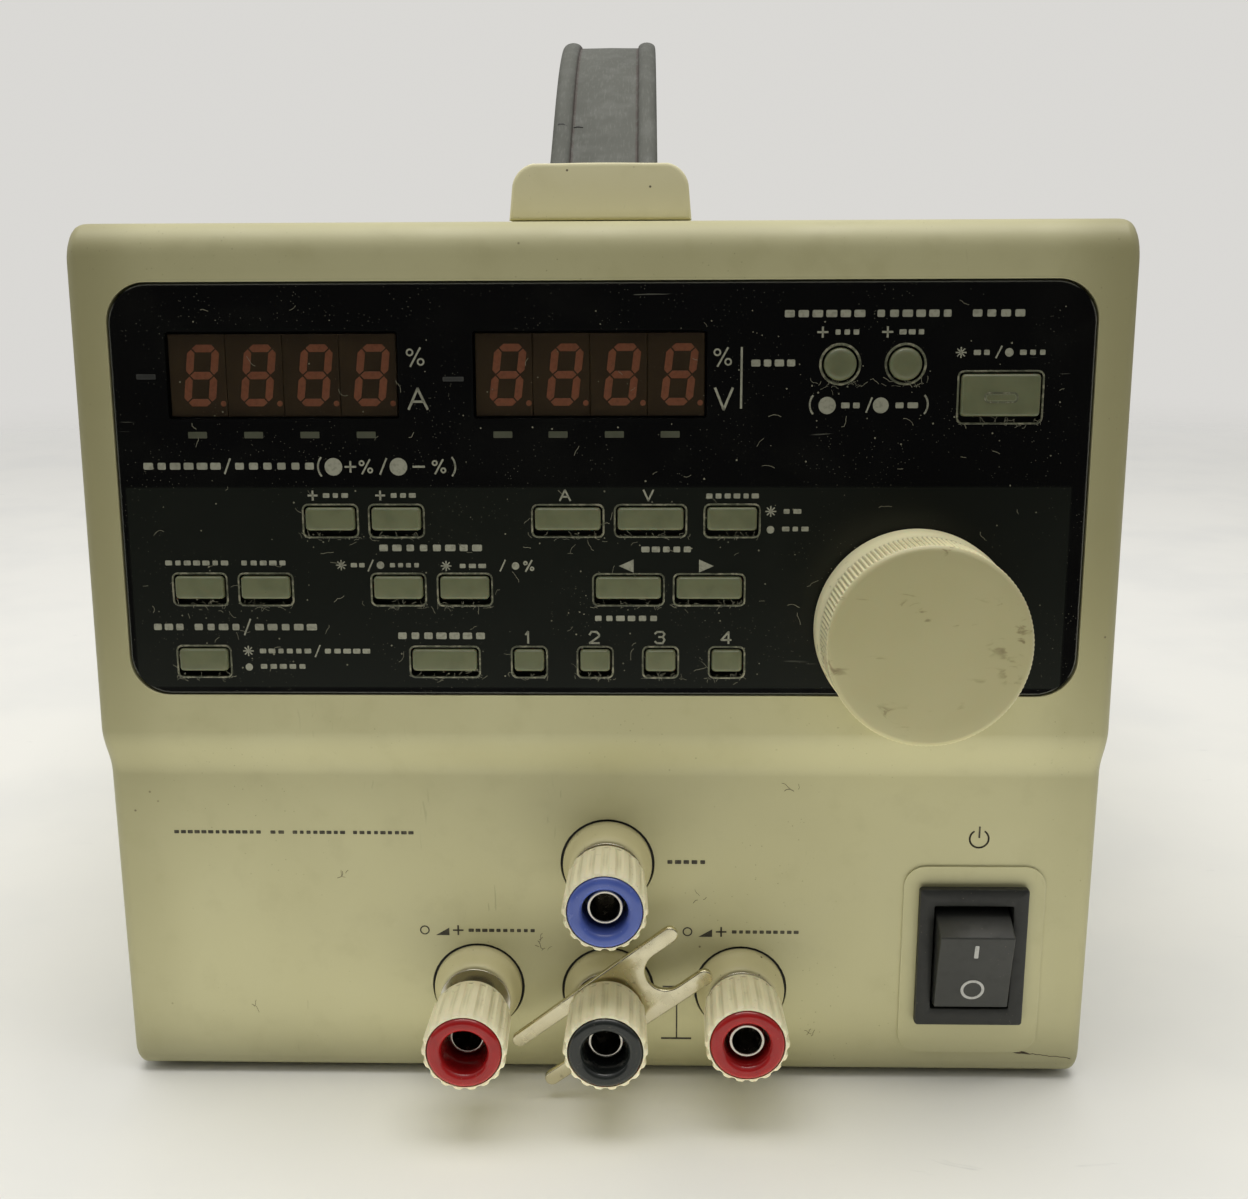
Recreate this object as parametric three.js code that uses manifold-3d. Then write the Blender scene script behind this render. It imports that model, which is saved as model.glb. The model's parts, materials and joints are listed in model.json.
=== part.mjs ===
// Bench power supply, 140 mm wide, with an LED front panel, four binding posts and a strap handle.
// Millimetres, +Z up. X runs to the right and Y runs from the front panel to the back.
// The origin is the centre of the overall bounding box, at the underside of the feet.
import * as THREE from 'three';
import { mergeVertices } from 'three/addons/utils/BufferGeometryUtils.js';
import Module from 'manifold-3d';

const wasm = await Module();
wasm.setup();

// ---- Driving dimensions, measured from the lower panel's face and the underside of the case ----
const GAP = 0.3;                 // clearance between neighbouring pieces
const CASE_WIDTH = 141.4;
const CASE_HEIGHT = 122.4;
const CASE_DEPTH = 182;
const SHEET = 1;                 // steel sheet thickness
const FOOT_HEIGHT = 1.8;
const FOOT_RADIUS = 6;

const BEZEL_DEPTH = 16;          // moulded front frame, front to back
const BEZEL_WALL = 2;
const EDGE_RADIUS = 1.9;         // rounding of the frame's two side edges
const CORNER_RADIUS = 2.5;
const STEP_Z = 45.7;             // where the lower panel starts to curve forward
const NOSE_Z = 53.1;             // lower edge of the leaning upper panel
const NOSE_OUT = 2.5;
const LEAN = THREE.MathUtils.degToRad(1.7);
const TOP_ROUND = 4.4;
const BOTTOM_ROUND = 2.2;
const SKIRT = 0.9;               // how far the frame hangs below the underside of the case

const FASCIA = { width: 130.3, bottom: 58.7, top: 114.5, radius: 5.4, thickness: 1.6, inset: 0.15 };
const LEDGE = 1.2;               // shelf of the frame behind the fascia's rim
const LEDGE_WIDTH = 1.3;
const WINDOW = { width: 31.1, height: 11.6, z: 102.5 };
const CURRENT_X = -42.3;
const VOLTAGE_X = -1.2;
const DIGITS = 4;

const KEY = { proud: 0.45, travel: 0.8, clearance: 0.25, flange: 0.5, stem: 2.6, radius: 0.6 };
const BOARD_Y = 9;               // front face of the control board behind the upper panel
const BOARD_THICKNESS = 1.6;
const SWITCH_HEIGHT = 2.5;
const ROW_Z = [82.9, 73.4, 63.2];
const SMALL_KEY = [7.2, 4.2];
const LARGE_KEY = [9.4, 4.1];
const PRESET_KEY = [4.6, 4.1];
const RECT_KEYS = [
  ['key_display_1', -36.6, ROW_Z[0], SMALL_KEY],
  ['key_display_2', -27.6, ROW_Z[0], SMALL_KEY],
  ['key_current', -4.3, ROW_Z[0], LARGE_KEY],
  ['key_voltage', 6.9, ROW_Z[0], LARGE_KEY],
  ['key_delay', 17.9, ROW_Z[0], SMALL_KEY],
  ['key_status', -55, ROW_Z[1], SMALL_KEY],
  ['key_limit', -45.9, ROW_Z[1], SMALL_KEY],
  ['key_tracking', -27.6, ROW_Z[1], SMALL_KEY],
  ['key_track_mode', -18.5, ROW_Z[1], SMALL_KEY],
  ['key_digit_left', 3.9, ROW_Z[1], LARGE_KEY],
  ['key_digit_right', 14.9, ROW_Z[1], LARGE_KEY],
  ['key_lock', -55, ROW_Z[2], SMALL_KEY],
  ['key_memory', -21.5, ROW_Z[2], LARGE_KEY],
  ['key_preset_1', -9.8, ROW_Z[2], PRESET_KEY],
  ['key_preset_2', -0.7, ROW_Z[2], PRESET_KEY],
  ['key_preset_3', 8.3, ROW_Z[2], PRESET_KEY],
  ['key_preset_4', 17.4, ROW_Z[2], PRESET_KEY],
];
const MAIN_KEY = ['key_output_main', 53.1, 99.4, [10.9, 6.6]];
const LAMP_SLOT = [4, 1.1];
const ROUND_KEYS = [['key_output_1', 31.9, 103.8], ['key_output_2', 40.5, 103.8]];
const ROUND_KEY_RADIUS = 2.45;

const KNOB = { x: 42.7, z: 68.4, radius: 13.6, face: 13.2, depth: 12.5, gap: 0.6, band: 4.4, skin: 2 };
const SHAFT_RADIUS = 3;
const BUSH_RADIUS = 4.5;
const ENCODER_Y = 5;             // front face of the encoder's body

const ROCKER = { x: 53.4, z: 18.7, frame: [15.6, 21.4], opening: [11.3, 16.1], body: [13.2, 18.4] };
const ROCKER_PAD = { x: 53.6, z: 17.6, width: 20.3, height: 29.4, radius: 3.1, proud: 0.3 };
const ROCKER_PIVOT_Y = 3.1;
const ROCKER_OUT = 1.6;          // front of the switch's flange in front of the panel
const ROCKER_DEPTH = 14;
const ROCKER_PIN = { radius: 1, hole: 1.3, length: 0.8 };
// Side view of the actuator about its pivot, untilted: depth, then height.
const ROCKER_PROFILE = [
  [-6.8, 6.1], [-3.2, 7.3], [0.6, 7.45], [3.7, 3.1], [3.7, -3.1],
  [0.6, -7.45], [-3.2, -7.3], [-6.8, -6.1], [-6.65, -2.2], [-6.65, 2.2],
];
const ROCKER_TILT = THREE.MathUtils.degToRad(11);

// Each cap stands this far off its seat: one is loose and one holds the shorting link.
const POSTS = [
  { name: 'red_left', x: -18.3, z: 12.9, open: 2.8 },
  { name: 'black', x: 0.8, z: 12.4, open: 1.7 },
  { name: 'red_right', x: 20.2, z: 12.7, open: 0 },
  { name: 'blue', x: 0.8, z: 32.4, open: 0.4 },
];
const COLLAR = {
  out: 4, neck: 5.2, radius: 6.4, spigot: 4.3, behind: 1.5, recess: 6.8, recessDepth: 0.6,
};
const COLLAR_FLANK = [[5.5, 3.3], [6.1, 1.4], [6.4, 0.7]];   // radius and distance in front of the panel
const SEAT = { out: 4.6, thickness: 0.3, radius: 5.1 };
const CAP = { base: 4.9, length: 10.3, rear: 5.55, front: 5.8, pocket: 1.7 };
const RING = { outer: 5.1, inner: 3.15, sleeve: 4.2, depth: 6 };
const RING_CLEARANCE = 0.25;
const STUD = { radius: 2.45, bore: 2.02, out: 14.1, boreEnd: -1 };
const STUD_NUT = { radius: 5, thickness: 2.6, pin: 1.6, pinLength: 5.4 };
const LINK = { width: 10.6, holdWidth: 9.7, left: 14, right: 15.4, notch: 7.5, mouth: 2.95, angle: 37,
  out: 5.15, thick: 0.9 };

const HANDLE = { width: 25, front: 9.5, length: 21, height: 8, strap: 16, thick: 2.6, apex: 155.6 };
const HANDLE_SPAN = 146;         // from the front end cap's front to the rear one's back
const HANDLE_CORNER = 3.6;
const STRAP_INSET = 8;           // from an end cap's outer face to the end of the strap inside it
const STRAP_RISE = 4.4;          // the strap's ends above the top of the case
const STRAP_PULL = { start: 14, crest: 31 };   // how far the curve leaves its ends level

const COVER = { skirt: 12, lip: 0.4 };
const SIDE_SLOTS = { rows: 9, z: 38, pitch: 7, height: 2.5, columns: [56, 118], length: 34 };
const TRAY_SIDE = 9;
const TRAY_BACK = 6;
const REAR_SLOTS = { count: 10, x: -40.5, pitch: 9, width: 3, low: 107, high: 116 };
const FOOT_SPOTS = [
  ['front_left', -1, 38], ['front_right', 1, 38], ['rear_left', -1, 163], ['rear_right', 1, 163],
];
const FOOT_INSET = 16.7;           // from the side of the case to a foot's centre
const FOOT_BORE = { radius: 2, end: 0.9 };
const SINK = { width: 93, low: 33, height: 70, depth: 18, base: 4, fins: 13, fin: 1.5 };
const INLET = { x: -40, z: 18, flange: [48, 22.6], body: [27.4, 20], socket: [24.2, 16.4], depth: 18 };
const INLET_BLADES = [[-7, -2], [0, 2], [7, -2]];
const BLADE = { width: 2, height: 4, back: 16, front: 1 };
// Width, depth and height of each block, and how far it stands off the tray.
const TRANSFORMER = {
  x: -32, y: 112, core: [56, 28, 46, 2], coil: [32, 46, 32, 9], bracket: [70, 18, 2.2, 0],
};
const REGULATOR = { left: 7, right: 65, front: 36, back: 172, lift: 5 };
const REGULATOR_BLOCKS = [[24, 60, 150, 166, 24], [12, 24, 44, 62, 12]];   // x from, to, y from, to, height
const CAPACITORS = [         // x, y, radius, height
  [20, 80, 7, 28], [38, 80, 7, 28], [56, 80, 7, 28], [20, 106, 9.5, 33], [44, 106, 9.5, 33],
];
const PILLARS = [[11, 40], [61, 40], [11, 168], [61, 168]];
const PILLAR_RADIUS = 2.5;
const FAR = 300;                 // beyond the whole object, for cutting tools

const FRONT_REACH = CAP.base + CAP.length + POSTS[0].open;
const BACK_REACH = CASE_DEPTH + GAP + SINK.depth;
const CENTRE_Y = (BACK_REACH - FRONT_REACH) / 2;

// ---- Materials ----
const plastic = (color, roughness) => new THREE.MeshStandardMaterial({ color, roughness, metalness: 0 });
const metal = (color, roughness) => new THREE.MeshStandardMaterial({ color, roughness, metalness: 1 });
const caseBeige = plastic(0xb0ac84, 0.6);
const knobCream = plastic(0xc2bd9c, 0.55);
const postCream = plastic(0xe2decb, 0.5);
const fasciaBlack = plastic(0x0c0c0c, 0.15);
const keyGreen = plastic(0x686e58, 0.4);
const ledBrown = plastic(0x30261c, 0.3);
const rockerBlack = plastic(0x1e1f20, 0.5);
const strapGrey = plastic(0x646760, 0.8);
const footBlack = plastic(0x1a1a1a, 0.9);
const boardGreen = plastic(0x1d4a2c, 0.5);
const ringColours = { red_left: 0xaa1e23, black: 0x282a2c, red_right: 0xaa1e23, blue: 0x3c52b0 };
const nickel = metal(0xb8b4a8, 0.3);
const steel = metal(0x9a9c9c, 0.45);
const aluminium = metal(0xa8aaac, 0.4);

// ---- Solids ----
function solid(geometry) {
  const bare = geometry.clone();
  bare.deleteAttribute('normal');
  bare.deleteAttribute('uv');
  const merged = mergeVertices(bare, 1e-4);
  const points = merged.attributes.position.array;
  const corners = merged.index.array;
  const kept = [];
  let volume = 0;
  for (let i = 0; i < corners.length; i += 3) {
    const [a, b, c] = [corners[i], corners[i + 1], corners[i + 2]];
    if (a === b || b === c || c === a) continue;
    kept.push(a, b, c);
    const [p, q, r] = [a, b, c].map((v) => new THREE.Vector3().fromArray(points, 3 * v));
    volume += p.dot(q.cross(r));
  }
  if (volume < 0) kept.reverse();
  return new wasm.Manifold(new wasm.Mesh({
    numProp: 3,
    vertProperties: points,
    triVerts: Uint32Array.from(kept),
  }));
}

function geometryOf(shape) {
  const mesh = shape.getMesh();
  const geometry = new THREE.BufferGeometry();
  geometry.setAttribute('position', new THREE.BufferAttribute(mesh.vertProperties, 3));
  geometry.setIndex(new THREE.BufferAttribute(mesh.triVerts, 1));
  geometry.computeVertexNormals();
  return geometry;
}

function joinAll(shapes) {
  return shapes.reduce((whole, shape) => whole.add(shape));
}

function cutAll(shape, tools) {
  return tools.reduce((whole, tool) => whole.subtract(tool), shape);
}

// A box from its low corner to its high corner.
function box(low, high) {
  const size = high.map((value, i) => value - low[i]);
  const centre = high.map((value, i) => (value + low[i]) / 2);
  return solid(new THREE.BoxGeometry(...size).translate(...centre));
}

// A rounded rectangle outline centred on (x, z).
function roundedRect(x, z, width, height, radius) {
  const [w, h] = [width / 2 - radius, height / 2 - radius];
  const shape = new THREE.Shape();
  shape.absarc(x + w, z + h, radius, 0, Math.PI / 2);
  shape.absarc(x - w, z + h, radius, Math.PI / 2, Math.PI);
  shape.absarc(x - w, z - h, radius, Math.PI, 1.5 * Math.PI);
  shape.absarc(x + w, z - h, radius, 1.5 * Math.PI, 2 * Math.PI);
  shape.closePath();
  return shape;
}

function grown([width, height], margin) {
  return [width + 2 * margin, height + 2 * margin];
}

// Extrudes a front-view outline (x, z) from the depth yFront back to yBack.
function plate(shape, yFront, yBack, curveSegments = 2) {
  const options = { depth: yBack - yFront, bevelEnabled: false, curveSegments };
  return solid(new THREE.ExtrudeGeometry(shape, options).rotateX(Math.PI / 2).translate(0, yBack, 0));
}

// Extrudes a side-view outline (y, z) across the width, from xLeft to xRight.
function sidePlate(points, xLeft, xRight) {
  const shape = new THREE.Shape(points.map(([y, z]) => new THREE.Vector2(y, z)));
  const options = { depth: xRight - xLeft, bevelEnabled: false };
  const geometry = new THREE.ExtrudeGeometry(shape, options);
  const turn = new THREE.Matrix4().makeBasis(
    new THREE.Vector3(0, 1, 0), new THREE.Vector3(0, 0, 1), new THREE.Vector3(1, 0, 0));
  return solid(geometry.applyMatrix4(turn).translate(xLeft, 0, 0));
}

// Turns a profile of [radius, distance in front of the panel] about an axis square to the panel.
function turned(profile, x, z, segments) {
  const points = profile.map(([radius, out]) => new THREE.Vector2(radius, out));
  return solid(new THREE.LatheGeometry(points, segments).rotateX(Math.PI).translate(x, 0, z));
}

function ringProfile(points) {
  return [...points, points[0]];
}

function peg(x, z, radius, yFront, yBack, segments = 16) {
  return turned([[0, -yFront], [radius, -yFront], [radius, -yBack], [0, -yBack]], x, z, segments);
}

function upright(x, y, radius, zLow, zHigh, segments = 16) {
  const geometry = new THREE.CylinderGeometry(radius, radius, zHigh - zLow, segments);
  return solid(geometry.rotateX(Math.PI / 2).translate(x, y, (zLow + zHigh) / 2));
}

// ---- Assembly frames ----
const supply = new THREE.Group();
supply.position.set(0, -CENTRE_Y, FOOT_HEIGHT);
const upperPanel = new THREE.Group();     // origin on the nose edge, +Y straight into the panel
upperPanel.position.set(0, -NOSE_OUT, NOSE_Z);
upperPanel.rotation.x = -LEAN;
supply.add(upperPanel);

const alongPanel = (z) => (z - NOSE_Z) / Math.cos(LEAN);

function addPiece(frame, name, shape, material) {
  const mesh = new THREE.Mesh(geometryOf(shape), material);
  mesh.name = name;
  frame.add(mesh);
}

// Moves a solid from the upper panel's frame to the case's frame.
function fromPanel(shape) {
  upperPanel.updateMatrix();
  const geometry = geometryOf(shape).applyMatrix4(upperPanel.matrix);
  return solid(geometry);
}

// ---- Moulded front frame ----
// Side view of the frame's outer skin, from the underside up over the front to the top.
function skinProfile() {
  const points = [[BEZEL_DEPTH + 4, -SKIRT]];
  const arc = (cy, cz, radius, from, to, steps) => {
    for (let i = 0; i <= steps; i += 1) {
      const a = THREE.MathUtils.degToRad(from + (to - from) * i / steps);
      points.push([cy + radius * Math.cos(a), cz + radius * Math.sin(a)]);
    }
  };
  arc(BOTTOM_ROUND, BOTTOM_ROUND - SKIRT, BOTTOM_ROUND, 270, 180, 6);
  const steps = 12;
  for (let i = 0; i < steps; i += 1) {
    const t = i / steps;
    const ease = t * t * (3 - 2 * t);
    points.push([-NOSE_OUT * ease, STEP_Z + (NOSE_Z - STEP_Z) * t]);
  }
  points.push([-NOSE_OUT, NOSE_Z]);
  const crownZ = CASE_HEIGHT - TOP_ROUND;
  const crownY = -NOSE_OUT + (crownZ - NOSE_Z) * Math.tan(LEAN) + TOP_ROUND;
  arc(crownY, crownZ, TOP_ROUND, 180, 90, 8);
  points.push([BEZEL_DEPTH + 4, CASE_HEIGHT]);
  return points;
}

// Stacks the side profile across the width, drawn in at both ends so the side edges are round.
function bezelSkin() {
  const profile = skinProfile();
  const half = CASE_WIDTH / 2;
  const steps = 6;
  const stations = [];
  for (let i = 0; i <= steps; i += 1) {
    const a = (i / steps) * Math.PI / 2;
    stations.push([EDGE_RADIUS * (1 - Math.sin(a)), EDGE_RADIUS * (1 - Math.cos(a))]);
  }
  const left = stations.map(([inset, along]) => [-half + along, inset]);
  const right = stations.map(([inset, along]) => [half - along, inset]).reverse();
  const sections = [...left, ...right].map(([x, inset]) => {
    const squeeze = 1 - 2 * inset / CASE_HEIGHT;
    return profile.map(([y, z]) => [x, y + inset, CASE_HEIGHT / 2 + (z - CASE_HEIGHT / 2) * squeeze]);
  });
  const count = profile.length;
  const faces = [];
  for (let s = 0; s + 1 < sections.length; s += 1) {
    for (let i = 0; i < count; i += 1) {
      const j = (i + 1) % count;
      const [a, b, c, d] = [s * count + i, s * count + j, (s + 1) * count + j, (s + 1) * count + i];
      faces.push(a, b, c, a, c, d);
    }
  }
  const flat = profile.map(([y, z]) => new THREE.Vector2(y, z));
  const last = (sections.length - 1) * count;
  for (const [a, b, c] of THREE.ShapeUtils.triangulateShape(flat, [])) {
    faces.push(a, b, c, last + a, last + c, last + b);
  }
  const geometry = new THREE.BufferGeometry();
  geometry.setAttribute('position', new THREE.Float32BufferAttribute(sections.flat(2), 3));
  geometry.setIndex(faces);
  return solid(geometry);
}

function bezelCavity() {
  const inner = CASE_WIDTH / 2 - BEZEL_WALL;
  const ledgeBack = FASCIA.inset + FASCIA.thickness + GAP + LEDGE;
  const lean = (z) => -NOSE_OUT + (z - NOSE_Z) * Math.tan(LEAN) + ledgeBack;
  const top = CASE_HEIGHT - BEZEL_WALL;
  const corner = 3;
  const noseWall = 2.5;
  return sidePlate([
    [BEZEL_WALL, BEZEL_WALL], [FAR, BEZEL_WALL], [FAR, top],
    [lean(top) + corner, top], [lean(top - corner), top - corner],
    [lean(NOSE_Z + noseWall), NOSE_Z + noseWall], [BEZEL_WALL, STEP_Z + 1],
  ], -inner, inner);
}

function addBezel() {
  const middle = alongPanel((FASCIA.bottom + FASCIA.top) / 2);
  const height = FASCIA.top - FASCIA.bottom;
  const seat = FASCIA.inset + FASCIA.thickness + GAP;
  const rim = roundedRect(0, middle, FASCIA.width + 2 * GAP, height + 2 * GAP, FASCIA.radius);
  const hole = roundedRect(0, middle, FASCIA.width - 2 * LEDGE_WIDTH, height - 2 * LEDGE_WIDTH, 3);
  const tools = [
    bezelCavity(),
    box([-FAR, BEZEL_DEPTH, -FAR], [FAR, FAR, FAR]),
    fromPanel(plate(rim, -3, seat, 6)),
    fromPanel(plate(hole, -3, 12, 3)),
    plate(roundedRect(ROCKER.x, ROCKER.z, ...grown(ROCKER.body, GAP), 0.8), -5, 10),
  ];
  for (const post of POSTS) {
    tools.push(peg(post.x, post.z, COLLAR.recess, -5, COLLAR.recessDepth, 40));
    tools.push(peg(post.x, post.z, COLLAR.spigot + GAP, -5, 10, 20));
  }
  const raised = ROCKER_PAD;
  const pad = roundedRect(raised.x, raised.z, raised.width, raised.height, raised.radius);
  const tall = CASE_HEIGHT + SKIRT;
  const outline = roundedRect(0, tall / 2 - SKIRT, CASE_WIDTH, tall, CORNER_RADIUS);
  const skin = bezelSkin().intersect(plate(outline, -20, BEZEL_DEPTH + 20, 5));
  addPiece(supply, 'front_bezel', cutAll(skin.add(plate(pad, -raised.proud, 1, 6)), tools), caseBeige);
}

// ---- Fascia, displays and control board ----
function addFascia() {
  const middle = alongPanel((FASCIA.bottom + FASCIA.top) / 2);
  const shape = roundedRect(0, middle, FASCIA.width, FASCIA.top - FASCIA.bottom, FASCIA.radius);
  const tools = [CURRENT_X, VOLTAGE_X].map((x) => {
    const opening = roundedRect(x, alongPanel(WINDOW.z), WINDOW.width, WINDOW.height, 0.4);
    return plate(opening, -5, 5, 1);
  });
  for (const [, x, z, [width, height]] of [...RECT_KEYS, MAIN_KEY]) {
    tools.push(plate(roundedRect(x, alongPanel(z), width, height, KEY.radius), -5, 5, 1));
  }
  for (const [, x, z] of ROUND_KEYS) tools.push(peg(x, alongPanel(z), ROUND_KEY_RADIUS, -5, 5, 20));
  tools.push(peg(KNOB.x, alongPanel(KNOB.z), BUSH_RADIUS + GAP, -5, 5, 16));
  const body = plate(shape, FASCIA.inset, FASCIA.inset + FASCIA.thickness, 8);
  addPiece(upperPanel, 'fascia_panel', cutAll(body, tools), fasciaBlack);
}

function addLedModule(name, x) {
  const front = FASCIA.inset + 0.5;
  const groove = { half: 0.06, depth: 0.3 };
  const [width, height] = grown([WINDOW.width, WINDOW.height], -GAP);
  const z = alongPanel(WINDOW.z);
  const block = box([x - width / 2, front, z - height / 2], [x + width / 2, BOARD_Y - GAP, z + height / 2]);
  const grooves = [];
  for (let i = 1; i < DIGITS; i += 1) {
    const at = x - width / 2 + width * i / DIGITS;
    const depth = front + groove.depth;
    grooves.push(box([at - groove.half, 0, z - height], [at + groove.half, depth, z + height]));
  }
  addPiece(upperPanel, name, cutAll(block, grooves), ledBrown);
}

function addControlBoard() {
  const back = BOARD_Y + BOARD_THICKNESS;
  const edge = FASCIA.width / 2 - 4;
  const [tact, encoder] = [2.2, 6];      // half the width of a key switch and of the encoder
  const parts = [box([-edge, BOARD_Y, alongPanel(FASCIA.bottom)], [edge, back, alongPanel(FASCIA.top)])];
  const spots = [...RECT_KEYS, MAIN_KEY, ...ROUND_KEYS];
  for (const [, x, z] of spots) {
    const at = alongPanel(z);
    parts.push(box([x - tact, BOARD_Y - SWITCH_HEIGHT, at - tact], [x + tact, BOARD_Y + 0.5, at + tact]));
  }
  const at = alongPanel(KNOB.z);
  const [left, right] = [KNOB.x - encoder, KNOB.x + encoder];
  parts.push(box([left, ENCODER_Y, at - encoder], [right, BOARD_Y + 0.5, at + encoder]));
  parts.push(peg(KNOB.x, at, BUSH_RADIUS, FASCIA.inset, ENCODER_Y + 0.5));
  const bore = peg(KNOB.x, at, SHAFT_RADIUS + GAP, -5, ENCODER_Y + 2);
  addPiece(upperPanel, 'control_board', joinAll(parts).subtract(bore), boardGreen);
}

// ---- Keys ----
// Cap, retaining flange behind the fascia, and a stem that stops just short of its switch.
const STEM_END = BOARD_Y - SWITCH_HEIGHT - KEY.travel - GAP;
const FLANGE_Y = FASCIA.inset + FASCIA.thickness + GAP;
const FLANGE_THICKNESS = 0.8;

function keySolid(x, z, width, height) {
  const at = alongPanel(z);
  const [w, h] = [width - 2 * KEY.clearance, height - 2 * KEY.clearance];
  const chamfer = 0.3;
  const rings = [
    [w - 2 * chamfer, h - 2 * chamfer, -KEY.proud],
    [w, h, -KEY.proud + chamfer],
    [w, h, FLANGE_Y],
    [width + 2 * KEY.flange, height + 2 * KEY.flange, FLANGE_Y],
    [width + 2 * KEY.flange, height + 2 * KEY.flange, FLANGE_Y + FLANGE_THICKNESS],
    [KEY.stem, KEY.stem, FLANGE_Y + FLANGE_THICKNESS],
    [KEY.stem, KEY.stem, STEM_END],
  ];
  const corner = KEY.radius;
  const points = rings.flatMap(([ringWidth, ringHeight, y]) => {
    const [a, b] = [ringWidth / 2, ringHeight / 2];
    const outline = [
      [a, b - corner], [a - corner, b], [corner - a, b], [-a, b - corner],
      [-a, corner - b], [corner - a, -b], [a - corner, -b], [a, corner - b],
    ];
    return outline.map(([u, v]) => [x + u, y, at + v]);
  });
  const faces = [];
  const sides = 8;
  for (let ring = 0; ring + 1 < rings.length; ring += 1) {
    for (let i = 0; i < sides; i += 1) {
      const j = (i + 1) % sides;
      const [a, b] = [ring * sides + i, ring * sides + j];
      faces.push(a, b, b + sides, a, b + sides, a + sides);
    }
  }
  const last = (rings.length - 1) * sides;
  for (let i = 1; i + 1 < sides; i += 1) faces.push(0, i + 1, i, last, last + i, last + i + 1);
  const geometry = new THREE.BufferGeometry();
  geometry.setAttribute('position', new THREE.Float32BufferAttribute(points.flat(), 3));
  geometry.setIndex(faces);
  return solid(geometry);
}

function addKeys() {
  for (const [name, x, z, [width, height]] of RECT_KEYS) {
    addPiece(upperPanel, name, keySolid(x, z, width, height), keyGreen);
  }
  const [name, x, z, [width, height]] = MAIN_KEY;
  const slot = plate(roundedRect(x, alongPanel(z), ...LAMP_SLOT, 0.4), -5, 0, 1);
  addPiece(upperPanel, name, keySolid(x, z, width, height).subtract(slot), keyGreen);
  const radius = ROUND_KEY_RADIUS - KEY.clearance;
  const profile = [
    [0, KEY.proud], [radius - 0.3, KEY.proud], [radius, KEY.proud - 0.3], [radius, -FLANGE_Y],
    [ROUND_KEY_RADIUS + KEY.flange, -FLANGE_Y],
    [ROUND_KEY_RADIUS + KEY.flange, -FLANGE_Y - FLANGE_THICKNESS],
    [KEY.stem / 2, -FLANGE_Y - FLANGE_THICKNESS], [KEY.stem / 2, -STEM_END], [0, -STEM_END],
  ];
  for (const [round, cx, cz] of ROUND_KEYS) {
    addPiece(upperPanel, round, turned(profile, cx, alongPanel(cz), 16), keyGreen);
  }
}

// ---- Encoder knob ----
function addKnob() {
  const hub = SHAFT_RADIUS + 2;
  const bore = SHAFT_RADIUS + GAP;
  const inside = KNOB.radius - KNOB.skin;
  const boreEnd = KNOB.depth - KNOB.skin - 0.7;
  const [chamfer, hubOut, z] = [0.8, 2, alongPanel(KNOB.z)];
  const profile = [
    [0, KNOB.depth], [KNOB.face - chamfer, KNOB.depth], [KNOB.face, KNOB.depth - chamfer],
    [KNOB.radius - 0.3, KNOB.band], [KNOB.radius, KNOB.band], [KNOB.radius, KNOB.gap],
    [inside, KNOB.gap], [inside, KNOB.depth - KNOB.skin], [hub, KNOB.depth - KNOB.skin],
    [hub, hubOut], [bore, hubOut], [bore, boreEnd], [0, boreEnd],
  ];
  addPiece(upperPanel, 'encoder_knob', turned(profile, KNOB.x, z, 36), knobCream);
  addPiece(upperPanel, 'encoder_shaft', peg(KNOB.x, z, SHAFT_RADIUS, GAP - boreEnd, ENCODER_Y + 1.7), steel);
}

// ---- Mains rocker switch ----
function addRockerSwitch() {
  const { x, z, frame, opening, body } = ROCKER;
  const flange = plate(roundedRect(x, z, ...frame, 0.9), -ROCKER_OUT, -ROCKER_PAD.proud - GAP, 3);
  const barrel = plate(roundedRect(x, z, ...body, 0.5), -1, ROCKER_DEPTH, 1);
  const pocket = plate(roundedRect(x, z, ...opening, 0.4), -5, ROCKER_DEPTH - 4, 1);
  const pinHole = sidePlate(disc(ROCKER_PIVOT_Y, z, ROCKER_PIN.hole, 12), x - body[0], x + body[0]);
  const housing = flange.add(barrel).subtract(pocket).subtract(pinHole);
  addPiece(supply, 'rocker_housing', housing, rockerBlack);

  const half = opening[0] / 2 - GAP;
  const tilted = ROCKER_PROFILE.map(([y, up]) => [
    ROCKER_PIVOT_Y + y * Math.cos(ROCKER_TILT) - up * Math.sin(ROCKER_TILT),
    z + y * Math.sin(ROCKER_TILT) + up * Math.cos(ROCKER_TILT),
  ]);
  const reach = half + ROCKER_PIN.length;
  const pin = sidePlate(disc(ROCKER_PIVOT_Y, z, ROCKER_PIN.radius, 10), x - reach, x + reach);
  addPiece(supply, 'rocker_actuator', sidePlate(tilted, x - half, x + half).add(pin), rockerBlack);
}

function disc(y, z, radius, segments) {
  return Array.from({ length: segments }, (_, i) => {
    const a = 2 * Math.PI * i / segments;
    return [y + radius * Math.cos(a), z + radius * Math.sin(a)];
  });
}

// ---- Binding posts and shorting link ----
const POST_SEGMENTS = 24;

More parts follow.
